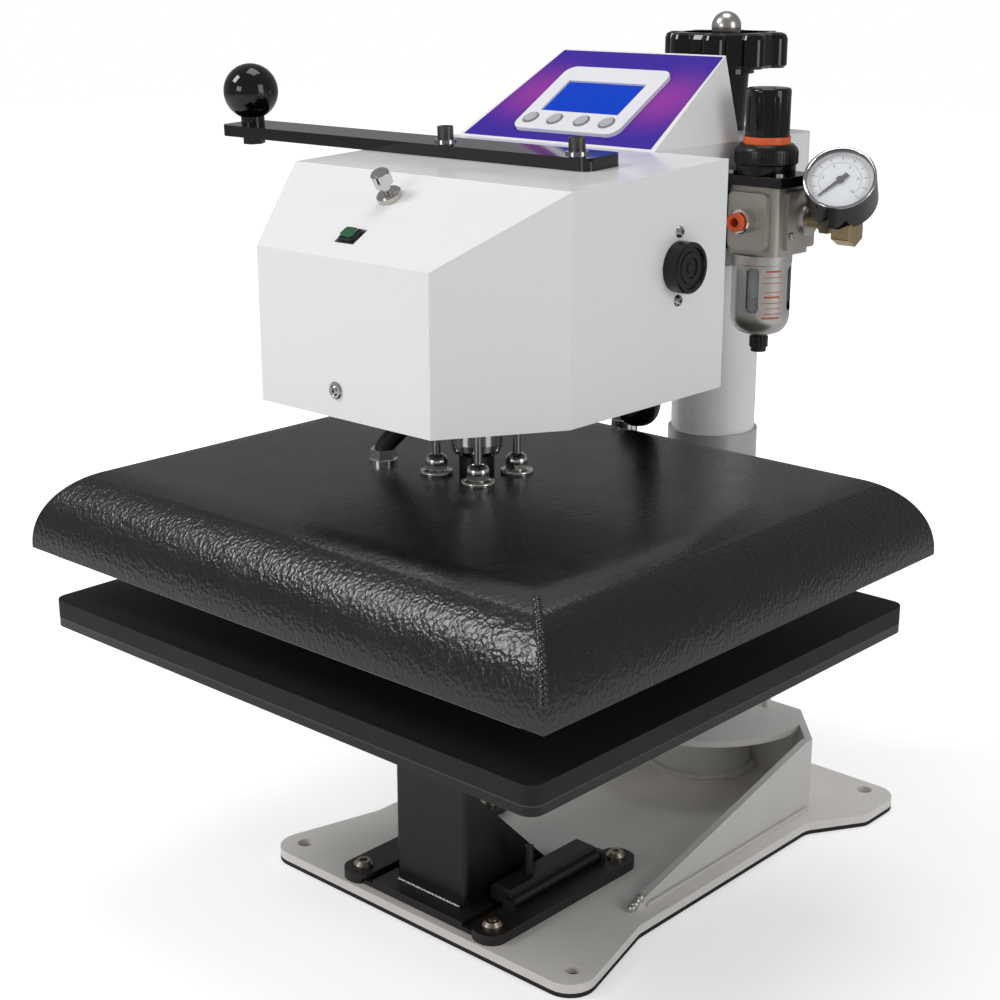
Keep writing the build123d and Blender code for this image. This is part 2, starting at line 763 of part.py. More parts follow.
def handle_screws():
    screws = []
    for x in (-CAP_X, CAP_X):
        washer = Pos(x, 0, BAR_T + 0.6) * Cylinder(6.75, 1.2)
        head = Pos(x, 0, BAR_T + 1.2 + CAP_H / 2) * Cylinder(CAP_R, CAP_H)
        socket = Pos(x, 0, BAR_T + 1.2 + CAP_H - 4) * hexagon(6, 5)
        screws.append(top_plane() * (washer + head - socket))
    return joined(screws)


def panel_plane(u, v):
    """Local plane on the sloped face of the control box."""
    run = BOX_REAR - HEAD_REAR
    rise = BOX_TOP - ARM_Z1
    length = math.hypot(run, rise)
    at = (u, HEAD_REAR + v * run / length, ARM_Z1 + v * rise / length)
    return Plane(origin=at, x_dir=(1, 0, 0), z_dir=(0, -rise / length, run / length))


def control_block(inset):
    """Hip-ended wedge of the control box, shrunk by inset."""
    run = BOX_REAR - HEAD_REAR
    rise = BOX_TOP - ARM_Z1
    k = math.hypot(run, rise) / run
    z0 = ARM_Z1 + inset
    z1 = BOX_TOP - inset
    rear = BOX_REAR - inset
    y0 = HEAD_REAR + (z0 - ARM_Z1 + inset * k) * run / rise
    peak = z0 + (rear - y0) * rise / run
    wedge = side_prism([(y0, z0), (rear, z0), (rear, peak)], BOX_X0, BOX_X1)
    left = (BOX_TOP_X0 - BOX_X0) / rise
    right = (BOX_X1 - BOX_TOP_X1) / rise
    x0 = BOX_X0 + inset * math.hypot(1, left)
    x1 = BOX_X1 - inset * math.hypot(1, right)
    sides = [(x0 + left * inset, z0), (x1 - right * inset, z0)]
    sides += [(x1 - right * (z1 - ARM_Z1), z1), (x0 + left * (z1 - ARM_Z1), z1)]
    return wedge & front_prism(sides, HEAD_REAR, BOX_REAR)


def control_box():
    """White control housing with openings for the cable, the display and the keys."""
    box = control_block(0) - control_block(2.0)
    box -= disc(-20, 140, 8, ARM_Z1 - 1, ARM_Z1 + 4)
    box -= panel_plane(BEZEL_U, LCD_V) * Box(LCD_W, LCD_H, 8)
    for u in KEY_U:
        box -= panel_plane(u, KEY_V) * Cylinder(KEY_R + KEY_GAP, 10)
    return box


def control_bezel():
    """Raised rounded frame around the display and the keys."""
    plate = Pos(0, 0, BEZEL_T / 2) * Box(BEZEL_W, BEZEL_H, BEZEL_T)
    plate = fillet(plate.edges().filter_by(Axis.Z), 8)
    bezel = panel_plane(BEZEL_U, BEZEL_V) * plate
    bezel -= panel_plane(BEZEL_U, LCD_V) * Box(LCD_W, LCD_H, 12)
    for u in KEY_U:
        bezel -= panel_plane(u, KEY_V) * Cylinder(KEY_R + KEY_GAP, 12)
    return bezel


def control_display():
    return panel_plane(BEZEL_U, LCD_V) * Pos(0, 0, 0) * Box(LCD_W, LCD_H, 3.2)


def key(u):
    """Round push key that moves through the bezel and the panel."""
    out = BEZEL_T + KEY_STROKE + 0.6
    cap = Pos(0, 0, out / 2 - 2) * Cylinder(KEY_R, out + 4)
    return panel_plane(u, KEY_V) * fillet(cap.edges().sort_by(Axis.Z)[-1], 0.5)


def side_sounder():
    """Round sounder on the right flank of the head."""
    x0 = HEAD_HALF
    body = rod((x0, SOUNDER_Y, SOUNDER_Z), (x0 + SOUNDER_H, SOUNDER_Y, SOUNDER_Z), SOUNDER_R)
    body = chamfer(body.edges().sort_by(Axis.X)[-1], 1.5)
    for k in range(6):
        a = k * math.pi / 3
        y = SOUNDER_Y + 6 * math.cos(a)
        z = SOUNDER_Z + 6 * math.sin(a)
        body -= rod((x0 + SOUNDER_H - 3, y, z), (x0 + SOUNDER_H + 1, y, z), 1.2)
    return body


def dome_screw(plane):
    """Low dome head with a hexagon socket, standing on a plane."""
    points = [(0, 0), (COVER_SCREW_R, 0), (COVER_SCREW_R - 0.5, 1.2), (COVER_SCREW_R - 1.5, 2.1), (0, 2.4)]
    head = turned(points) - Pos(0, 0, 1.2) * hexagon(2.5, 3)
    return plane * head


def cover_screws():
    screws = [dome_screw(Plane(origin=(-5, HEAD_FRONT, 358.6), x_dir=(1, 0, 0), z_dir=(0, -1, 0)))]
    for side in (-1, 1):
        for dz in (-COVER_SCREW_DZ, COVER_SCREW_DZ):
            at = (side * HEAD_HALF, SOUNDER_Y, SOUNDER_Z + dz)
            screws.append(dome_screw(Plane(origin=at, x_dir=(0, 1, 0), z_dir=(side, 0, 0))))
    return joined(screws)


def button_bezel():
    """Rectangular collar of the start button, pushed through the brow of the head."""
    hole_w = BUTTON_W + 2 * SLIDE_GAP
    hole_h = BUTTON_H + 2 * SLIDE_GAP
    rim = Pos(0, 0, 1.3) * Box(BUTTON_W + 7, BUTTON_H + 7, BUTTON_RIM)
    rim = fillet(rim.edges().filter_by(Axis.Z), 3)
    rim += Pos(0, 0, -6) * Box(BUTTON_W + BUTTON_RIM, BUTTON_H + BUTTON_RIM, 12)
    rim -= Pos(0, 0, -4) * Box(hole_w, hole_h, 16)
    return slope_plane(BUTTON_S) * rim


def power_button():
    cap = Pos(0, 0, BUTTON_OUT / 2 - 3) * Box(BUTTON_W, BUTTON_H, BUTTON_OUT + 6)
    cap = fillet(cap.edges().filter_by(Axis.Z), 1.5)
    cap = fillet(cap.faces().sort_by(Axis.Z)[-1].edges(), 0.8)
    return slope_plane(BUTTON_S) * cap


def valve_collar():
    """Stepped collar of the lowering valve, threaded through the brow of the head."""
    collar = Pos(0, 0, COLLAR_H / 2) * Cylinder(COLLAR_R, COLLAR_H)
    collar = chamfer(collar.edges().sort_by(Axis.Z)[-1], 1)
    collar += Pos(0, 0, -7) * Cylinder(COLLAR_R - 2.5, 14)
    collar -= Pos(0, 0, -6) * Cylinder(STEM_R + RUN, 40)
    return slope_plane(VALVE_S) * collar


def valve_knob():
    z0 = COLLAR_H + KNOB_GAP
    knob = Pos(0, 0, z0 + KNOB_H / 2) * Cylinder(KNOB_R, KNOB_H)
    knob = chamfer(knob.edges().sort_by(Axis.Z)[-1], 1.2)
    for side in (-1, 1):
        knob -= Pos(side * (KNOB_R + 4), 0, z0 + KNOB_H / 2 - 1) * Box(10, 20, KNOB_H - 2)
    knob += Pos(0, 0, z0 / 2 - 4) * Cylinder(STEM_R, z0 + 10)
    return slope_plane(VALVE_S) * knob


def regulator_bracket():
    x1 = REG_X - REG_HALF
    plate = block(ARM_HALF, x1, REG_FRONT - 6, REG_REAR + 6, REG_Z0 + 2, REG_Z1 + REG_FLANGE_T)
    return fillet(plate.edges().filter_by(Axis.X), 4)


def regulator_body():
    """Cast body with a raised front panel, a side port boss and a bowl spigot."""
    x0 = REG_X - REG_HALF
    x1 = REG_X + REG_HALF
    body = block(x0, x1, REG_FRONT + 4, REG_REAR, REG_Z0, REG_Z1)
    body = fillet(upright_edges(body), 5)
    panel = block(x0 + 5, x1 - 5, REG_FRONT, REG_FRONT + 6, REG_Z0 + 4, REG_Z1 - 4)
    body += fillet(panel.edges().filter_by(Axis.Y), 4)
    body += rod((x1 - 2, ELBOW_Y, ELBOW_Z), (x1 + 4, ELBOW_Y, ELBOW_Z), NIPPLE_R + 4)
    body -= rod((x1 - 6, ELBOW_Y, ELBOW_Z), (x1 + 5, ELBOW_Y, ELBOW_Z), NIPPLE_R)
    body -= rod((INLET_X, REG_FRONT - 1, INLET_Z), (INLET_X, REG_FRONT + 8, INLET_Z), COLLET_R)
    return body - disc(REG_X, REG_Y, 5, REG_Z0 - 1, REG_Z0 + 12)


def regulator_bonnet():
    """Square flange and ribbed bonnet under the pressure knob."""
    z0 = REG_Z1
    z1 = z0 + REG_FLANGE_T
    half = REG_FLANGE / 2
    flange = block(REG_X - REG_HALF, REG_X - REG_HALF + REG_FLANGE, REG_Y + 3 - half, REG_Y + 3 + half, z0, z1)
    flange = fillet(upright_edges(flange), 4)
    bonnet = disc(REG_X, REG_Y, BONNET_R - 1.2, z1 - 1, z1 + BONNET_H)
    for k in range(5):
        z = z1 + 1 + k * (BONNET_H - 3) / 4
        bonnet += disc(REG_X, REG_Y, BONNET_R, z, z + 1.6)
    return flange + bonnet - disc(REG_X, REG_Y, STEM_R + 1.5 + RUN, z1 + 2, z1 + BONNET_H + 1)


def bonnet_top():
    return REG_Z1 + REG_FLANGE_T + BONNET_H


def regulator_ring():
    z0 = bonnet_top()
    return tube(REG_X, REG_Y, RING_R, STEM_R + 2, z0, z0 + RING_H)


def regulator_knob():
    """Fluted pull-and-turn knob with its stem."""
    z0 = bonnet_top() + RING_H + SLIDE_GAP
    knob = disc(REG_X, REG_Y, REG_KNOB_R, z0, z0 + REG_KNOB_H)
    knob = fillet(knob.edges().sort_by(Axis.Z)[-1], 2)
    for k in range(10):
        a = k * math.pi / 5
        x = REG_X + (REG_KNOB_R + 1.6) * math.cos(a)
        y = REG_Y + (REG_KNOB_R + 1.6) * math.sin(a)
        knob -= disc(x, y, 2.6, z0 + 3, z0 + REG_KNOB_H - 5)
    return knob + disc(REG_X, REG_Y, STEM_R + 1.5, bonnet_top() - 12, z0 + 1)


def bowl_guard():
    """Slotted metal guard around the bowl."""
    low = GUARD_BOTTOM
    outer = [(0, low), (10, low), (15, low + 2.5), (GUARD_R, low + 9), (GUARD_R, REG_Z0), (0, REG_Z0)]
    r = GUARD_R - GUARD_WALL
    inner = [(0, low + 2), (9.5, low + 2), (14, low + 4.5), (r, low + 10), (r, REG_Z0 - 2), (0, REG_Z0 - 2)]
    guard = turned(outer, REG_X, REG_Y) - turned(inner, REG_X, REG_Y)
    guard -= disc(REG_X, REG_Y, DRAIN_R - 2.5 + 0.3, low - 1, low + 3)
    guard -= disc(REG_X, REG_Y, 6, REG_Z0 - 3, REG_Z0 + 1)
    for k in range(4):
        slot = block(GUARD_R - 6, GUARD_R + 2, -2.2, 2.2, low + 14, REG_Z0 - 12)
        slot = fillet(slot.edges().filter_by(Axis.X), 2)
        guard -= Pos(REG_X, REG_Y, 0) * Rot(0, 0, 45 + 90 * k) * slot
    return guard


def filter_bowl():
    """Clear bowl inside the guard."""
    low = GUARD_BOTTOM + 2
    r = GUARD_R - GUARD_WALL
    outer = [(0, low), (9.5, low), (14, low + 2.5), (r, low + 8), (r, REG_Z0 - 2), (0, REG_Z0 - 2)]
    t = 1.6
    inner = [(0, low + t), (9, low + t), (r - t, low + 8.5), (r - t, REG_Z0 - 1), (0, REG_Z0 - 1)]
    bowl = turned(outer, REG_X, REG_Y) - turned(inner, REG_X, REG_Y)
    return bowl - disc(REG_X, REG_Y, DRAIN_R - 2.5 + 0.3, low - 1, low + 3)


def filter_element():
    top = REG_Z0 + 12
    element = disc(REG_X, REG_Y, 5, REG_Z0 - 2, top)
    return element + disc(REG_X, REG_Y, 9, REG_Z0 - 28, REG_Z0 - 2)


def drain_valve():
    """Knurled drain screw under the bowl."""
    z1 = GUARD_BOTTOM - SLIDE_GAP
    z0 = z1 - DRAIN_H
    drain = disc(REG_X, REG_Y, DRAIN_R - 1.5, z0, z1)
    for k in range(12):
        a = k * math.pi / 6
        drain += disc(REG_X + (DRAIN_R - 2) * math.cos(a), REG_Y + (DRAIN_R - 2) * math.sin(a), 1.6, z0 + 3, z1 - 2)
    drain += disc(REG_X, REG_Y, DRAIN_R - 2.5, z1 - 1, z1 + 5)
    return drain


def inlet_fitting():
    """Push-in hose fitting on the front of the regulator."""
    y1 = REG_FRONT
    ring = rod((INLET_X, y1 - 9, INLET_Z), (INLET_X, y1, INLET_Z), INLET_R)
    ring = chamfer(ring.edges().sort_by(Axis.Y)[0], 0.8)
    ring += rod((INLET_X, y1 - 1, INLET_Z), (INLET_X, y1 + 8, INLET_Z), COLLET_R)
    return ring - rod((INLET_X, y1 - 10, INLET_Z), (INLET_X, y1 + 5, INLET_Z), COLLET_R - 1.5 + RUN)


def release_collet():
    """Sliding collet that frees the hose when pushed in."""
    y1 = REG_FRONT - 9 - 1.3
    collet = rod((INLET_X, y1 - 2.7, INLET_Z), (INLET_X, y1, INLET_Z), COLLET_R)
    collet += rod((INLET_X, y1 - 1, INLET_Z), (INLET_X, y1 + 10, INLET_Z), COLLET_R - 1.5)
    return collet - rod((INLET_X, y1 - 4, INLET_Z), (INLET_X, y1 + 11, INLET_Z), HOSE_R)


def gauge_plane(depth):
    """Local plane of the gauge, depth millimetres behind its front rim."""
    az = math.radians(GAUGE_AZ)
    el = math.radians(GAUGE_EL)
    n = Vector(math.cos(el) * math.sin(az), -math.cos(el) * math.cos(az), math.sin(el))
    at = Vector(*GAUGE_AT) - n * depth
    across = Vector(math.cos(az), math.sin(az), 0)
    return Plane(origin=at, x_dir=across, z_dir=n)


def gauge_case():
    body = gauge_plane(GAUGE_D) * Pos(0, 0, GAUGE_D / 2) * Cylinder(GAUGE_R, GAUGE_D)
    return body - gauge_plane(GAUGE_RECESS) * Pos(0, 0, GAUGE_D / 2) * Cylinder(GAUGE_R - 1.8, GAUGE_D)


def gauge_dial():
    dial = Pos(0, 0, 0.4) * Cylinder(GAUGE_R - 1.8, 0.8) - Cylinder(0.9, 4)
    return gauge_plane(GAUGE_RECESS) * dial


def gauge_needle():
    """Pointer that turns on the dial, resting at the lower left."""
    z0 = 0.8 + SLIDE_GAP
    hub = Pos(0, 0, z0 + 0.6) * Cylinder(2.4, 1.2)
    pin = Pos(0, 0, (z0 + 1) / 2) * Cylinder(0.9 - RUN, z0 + 1)
    pointer = extrude(make_face(Polyline((-1.1, 0), (1.1, 0), (0.3, -17), (-0.3, -17), close=True)), 0.7)
    tail = extrude(make_face(Polyline((-1.1, 0), (1.1, 0), (1.6, 6), (-1.6, 6), close=True)), 0.7)
    needle = Pos(0, 0, z0 + 0.2) * (pointer + tail) + hub
    return gauge_plane(GAUGE_RECESS) * (Rot(0, 0, -45) * needle + pin)


def gauge_elbow():
    """Brass nipple, hexagonal elbow and stem between the regulator and the gauge."""
    at = (ELBOW_X, ELBOW_Y, ELBOW_Z)
    x1 = REG_X + REG_HALF
    elbow = rod((x1 - 6, ELBOW_Y, ELBOW_Z), at, NIPPLE_R)
    hexed = Plane(origin=(ELBOW_X - 16, ELBOW_Y, ELBOW_Z), x_dir=(0, 1, 0), z_dir=(1, 0, 0)) * hexagon(14, 6)
    elbow += hexed
    elbow += Pos(ELBOW_X, ELBOW_Y, ELBOW_Z - 7) * hexagon(14, 15)
    elbow += disc(ELBOW_X, ELBOW_Y, NIPPLE_R, ELBOW_Z, ELBOW_Z + 20)
    return elbow - gauge_plane(GAUGE_D) * Pos(0, 0, GAUGE_D / 2) * Cylinder(GAUGE_R, GAUGE_D)


def rounded_disc(x, y, r):
    """Disc of the wheel rim with a softened upper and lower edge."""
    z0, z1 = WHEEL_Z0, WHEEL_Z1
    points = [(0, z0), (r - 2, z0), (r, z0 + 2), (r, z1 - 4), (r - 1.2, z1 - 1.2), (r - 4, z1), (0, z1)]
    return turned(points, x, y)


def handwheel():
    """Lobed dished wheel on a tapered neck."""
    r = WHEEL_R - 6.5
    rim = rounded_disc(0, 0, r)
    for k in range(WHEEL_LOBES):
        a = 2 * math.pi * (k + 0.5) / WHEEL_LOBES
        rim += rounded_disc((r - 2.5) * math.cos(a), (r - 2.5) * math.sin(a), 9)
    dish = [(0, WHEEL_Z1 - 13), (15, WHEEL_Z1 - 13), (29, WHEEL_Z1 - 2), (29, WHEEL_Z1 + 1), (0, WHEEL_Z1 + 1)]
    rim -= turned(dish)
    rim += turned([(0, WHEEL_Z1 - 14), (11, WHEEL_Z1 - 14), (9, WHEEL_Z1 - 6), (0, WHEEL_Z1 - 6)])
    foot = ARM_Z1 + SLIDE_GAP
    boss = WHEEL_Z0 - 4
    neck = [(0, foot), (NECK_FOOT_R, foot), (NECK_TOP_R, boss), (WHEEL_BOSS_R, boss), (WHEEL_BOSS_R, WHEEL_Z0 + 1)]
    wheel = rim + turned(neck + [(0, WHEEL_Z0 + 1)])
    return Pos(0, POST_Y, 0) * (wheel - disc(0, 0, SCREW_R, foot - 1, WHEEL_Z1 - 6))


def lift_screw():
    """Screw that lifts the head, with a steel ball on its top end."""
    top = WHEEL_Z1 - 6
    under = ARM_Z1 - ARM_WALL - SLIDE_GAP
    screw = disc(0, POST_Y, SCREW_R, SCREW_BOTTOM, top)
    screw += disc(0, POST_Y, SCREW_R + 4, under - 5, under)
    ball = Pos(0, POST_Y, top + WHEEL_BALL_R - 0.6) * Sphere(WHEEL_BALL_R)
    ball -= disc(0, POST_Y, WHEEL_BALL_R + 1, top - 5, top)
    return screw + ball


PIECES = {
    "base_mat": base_mat,
    "base_plate": base_plate,
    "base_gussets": base_gussets,
    "post_socket": post_socket,
    "post_sleeve": post_sleeve,
    "post_core": post_core,
    "sled_rails": sled_rails,
    "rail_screws": rail_screws,
    "lock_bar": lock_bar,
    "table_sled": table_sled,
    "table_pedestal": table_pedestal,
    "table_plate": table_plate,
    "table_pad": table_pad,
    "swing_bush": swing_bush,
    "post_tube": post_tube,
    "arm_housing": arm_housing,
    "head_frame": head_frame,
    "head_cover": head_cover,
    "air_cylinder": air_cylinder,
    "handle_bar": handle_bar,
    "handle_ball": handle_ball,
    "handle_screws": handle_screws,
    "control_box": control_box,
    "control_bezel": control_bezel,
    "control_display": control_display,
    "side_sounder": side_sounder,
    "cover_screws": cover_screws,
    "button_bezel": button_bezel,
    "valve_collar": valve_collar,
    "regulator_bracket": regulator_bracket,
    "regulator_body": regulator_body,
    "regulator_bonnet": regulator_bonnet,
    "regulator_ring": regulator_ring,
    "bowl_guard": bowl_guard,
    "filter_bowl": filter_bowl,
    "filter_element": filter_element,
    "inlet_fitting": inlet_fitting,
    "gauge_elbow": gauge_elbow,
    "gauge_case": gauge_case,
    "gauge_dial": gauge_dial,
    "handwheel": handwheel,
    "lift_screw": lift_screw,
    "ram": ram,
    "ram_coupling": ram_coupling,
    "heat_platen": heat_platen,
    "platen_cover": platen_cover,
    "platen_studs": platen_studs,
    "levelling_nuts": levelling_nuts,
    "heater_leads": heater_leads,
    "lead_glands": lead_glands,
    "regulator_knob": regulator_knob,
    "gauge_needle": gauge_needle,
    "valve_knob": valve_knob,
    "power_button": power_button,
    "drain_valve": drain_valve,
    "release_collet": release_collet,
}

os.makedirs("parts", exist_ok=True)
for name, build in PIECES.items():
    export_step(build(), "parts/" + name + ".step")
for number, u in enumerate(KEY_U, start=1):
    export_step(key(u), "parts/key_" + str(number) + ".step")
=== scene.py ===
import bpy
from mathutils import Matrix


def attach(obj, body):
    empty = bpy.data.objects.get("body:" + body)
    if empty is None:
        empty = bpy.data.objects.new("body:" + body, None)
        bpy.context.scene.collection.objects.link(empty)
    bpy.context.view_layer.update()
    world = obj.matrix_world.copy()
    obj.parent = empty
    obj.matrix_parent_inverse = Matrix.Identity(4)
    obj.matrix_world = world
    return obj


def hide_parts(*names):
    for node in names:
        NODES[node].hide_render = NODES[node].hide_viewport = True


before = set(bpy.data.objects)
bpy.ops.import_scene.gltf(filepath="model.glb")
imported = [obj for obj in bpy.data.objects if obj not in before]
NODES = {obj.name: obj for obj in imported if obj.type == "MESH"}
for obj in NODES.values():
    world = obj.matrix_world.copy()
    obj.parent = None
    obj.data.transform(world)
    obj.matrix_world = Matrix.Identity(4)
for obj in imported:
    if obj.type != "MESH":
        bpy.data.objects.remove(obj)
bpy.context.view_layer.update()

import math
import bmesh
import bpy
from mathutils import Matrix, Vector

# Sizes in mm that several pieces share
TABLE_HALF_X = 203.2
TABLE_HALF_Y = 177.8
TABLE_CORNER = 9
PLATE_Z0 = 186.0
PLATE_Z1 = 191.4
PAD_Z0 = 191.8
PAD_Z1 = 203.3
COVER_HALF = 214.2
COVER_FRONT = -182.5
COVER_REAR = 188.9
COVER_ROLL = 50.0
COVER_FOOT = 238.0
COVER_RIM = 236.0
COVER_SHEET = 1.5
STUD_XY = 17.5
POST_Y = 248
BASE_MAT_T = 3.0
BASE_TOP = 9.0
REG_X = 78.5
REG_Y = 186.0
GUARD_R = 19.0
GUARD_SHEET = 1.7
GUARD_SEGMENTS = 144
GAUGE_RADIUS = 22.5
GAUGE_INK_Z = 0.88
GAUGE_START = 225
GAUGE_SWEEP = 270
WELD_DISTANCE = 0.000001


def node(tree, kind, values=None, **settings):
    """New shader node with its settings and its socket constants."""
    made = tree.nodes.new(kind)
    for key, value in settings.items():
        setattr(made, key, value)
    for key, value in (values or {}).items():
        made.inputs[key].default_value = value
    return made


def mat(name, color, rough=0.4, metal=0.0, bump=0.0, scale=900.0, mottle=0.03, coat=0.0,
        rough_var=0.03, spec=0.5, alpha=1.0, emit=0.0):
    """Procedural surface: colour mottling, roughness variation and fine bump from object coordinates."""
    m = bpy.data.materials.new(name)
    m.use_nodes = True
    nt = m.node_tree
    p = nt.nodes["Principled BSDF"]
    values = {
        "Metallic": metal, "Specular IOR Level": spec, "Coat Weight": coat, "Coat Roughness": 0.08, "Alpha": alpha,
    }
    if emit:
        values["Emission Color"] = (*color, 1)
        values["Emission Strength"] = emit
    for key, value in values.items():
        p.inputs[key].default_value = value
    place = node(nt, "ShaderNodeTexCoord")
    if bump:
        grain = node(nt, "ShaderNodeTexNoise", {"Scale": scale, "Detail": 2.0})
        nt.links.new(place.outputs["Object"], grain.inputs["Vector"])
        relief = node(nt, "ShaderNodeBump", {"Strength": bump, "Distance": 0.0006})
        nt.links.new(grain.outputs["Fac"], relief.inputs["Height"])
        nt.links.new(relief.outputs["Normal"], p.inputs["Normal"])
    cloud = node(nt, "ShaderNodeTexNoise", {"Scale": 28.0, "Detail": 4.0})
    nt.links.new(place.outputs["Object"], cloud.inputs["Vector"])
    dark = (*[max(0.0, c * (1 - mottle)) for c in color], 1)
    light = (*[min(1.0, c * (1 + mottle)) for c in color], 1)
    mix = node(nt, "ShaderNodeMix", {"A": dark, "B": light}, data_type="RGBA")
    nt.links.new(cloud.outputs["Fac"], mix.inputs["Factor"])
    nt.links.new(mix.outputs["Result"], p.inputs["Base Color"])
    sheen = node(nt, "ShaderNodeMapRange", {
        "From Min": 0.3, "From Max": 0.7,
        "To Min": max(0.02, rough - rough_var), "To Max": min(1.0, rough + rough_var),
    })
    nt.links.new(cloud.outputs["Fac"], sheen.inputs["Value"])
    nt.links.new(sheen.outputs["Result"], p.inputs["Roughness"])
    return m


def wrinkle_material():
    """Hammered black powder coat: leathery cells, flatter where the surface faces up."""
    m = mat("wrinkle", (0.0034, 0.0029, 0.0027), 0.27, spec=0.6)
    nt = m.node_tree
    p = nt.nodes["Principled BSDF"]
    place = node(nt, "ShaderNodeTexCoord")
    warp = node(nt, "ShaderNodeTexNoise", {"Scale": 140, "Detail": 3})
    nt.links.new(place.outputs["Object"], warp.inputs["Vector"])
    shifted = node(nt, "ShaderNodeVectorMath", {1: (0.007, 0.007, 0.007)}, operation="MULTIPLY_ADD")
    nt.links.new(warp.outputs["Color"], shifted.inputs[0])
    nt.links.new(place.outputs["Object"], shifted.inputs[2])
    cells = node(nt, "ShaderNodeTexVoronoi", {"Scale": 360}, feature="F1")
    nt.links.new(shifted.outputs["Vector"], cells.inputs["Vector"])
    facing = node(nt, "ShaderNodeNewGeometry")
    axes = node(nt, "ShaderNodeSeparateXYZ")
    level = node(nt, "ShaderNodeMapRange", {"From Min": 0.9, "From Max": 0.995, "To Min": 0.62, "To Max": 0.2})
    relief = node(nt, "ShaderNodeBump", {"Distance": 0.0005})
    nt.links.new(facing.outputs["Normal"], axes.inputs["Vector"])
    nt.links.new(axes.outputs["Z"], level.inputs["Value"])
    nt.links.new(level.outputs["Result"], relief.inputs["Strength"])
    nt.links.new(cells.outputs["Distance"], relief.inputs["Height"])
    nt.links.new(relief.outputs["Normal"], p.inputs["Normal"])
    return m


def panel_material():
    """Deep violet panel with a magenta glow either side of the bezel, in object coordinates."""
    m = bpy.data.materials.new("panel_violet")
    m.use_nodes = True
    nt = m.node_tree
    p = nt.nodes["Principled BSDF"]
    p.inputs["Roughness"].default_value = 0.42
    p.inputs["Specular IOR Level"].default_value = 0.2
    place = node(nt, "ShaderNodeTexCoord")
    add = node(nt, "ShaderNodeMath", operation="ADD")
    for slot, x in enumerate((-0.078, 0.03)):
        away = node(nt, "ShaderNodeVectorMath", {1: (x, 0.052, 0.0)}, operation="DISTANCE")
        nt.links.new(place.outputs["Object"], away.inputs[0])
        fade = node(nt, "ShaderNodeMapRange", {"From Min": 0.0, "From Max": 0.045, "To Min": 0.75, "To Max": 0.0},
                    interpolation_type="SMOOTHSTEP")
        nt.links.new(away.outputs["Value"], fade.inputs["Value"])
        nt.links.new(fade.outputs["Result"], add.inputs[slot])
    violet, magenta = (0.042, 0.016, 0.34, 1), (0.37, 0.04, 0.36, 1)
    mix = node(nt, "ShaderNodeMix", {"A": violet, "B": magenta}, data_type="RGBA")
    nt.links.new(add.outputs["Value"], mix.inputs["Factor"])
    nt.links.new(mix.outputs["Result"], p.inputs["Base Color"])
    return m


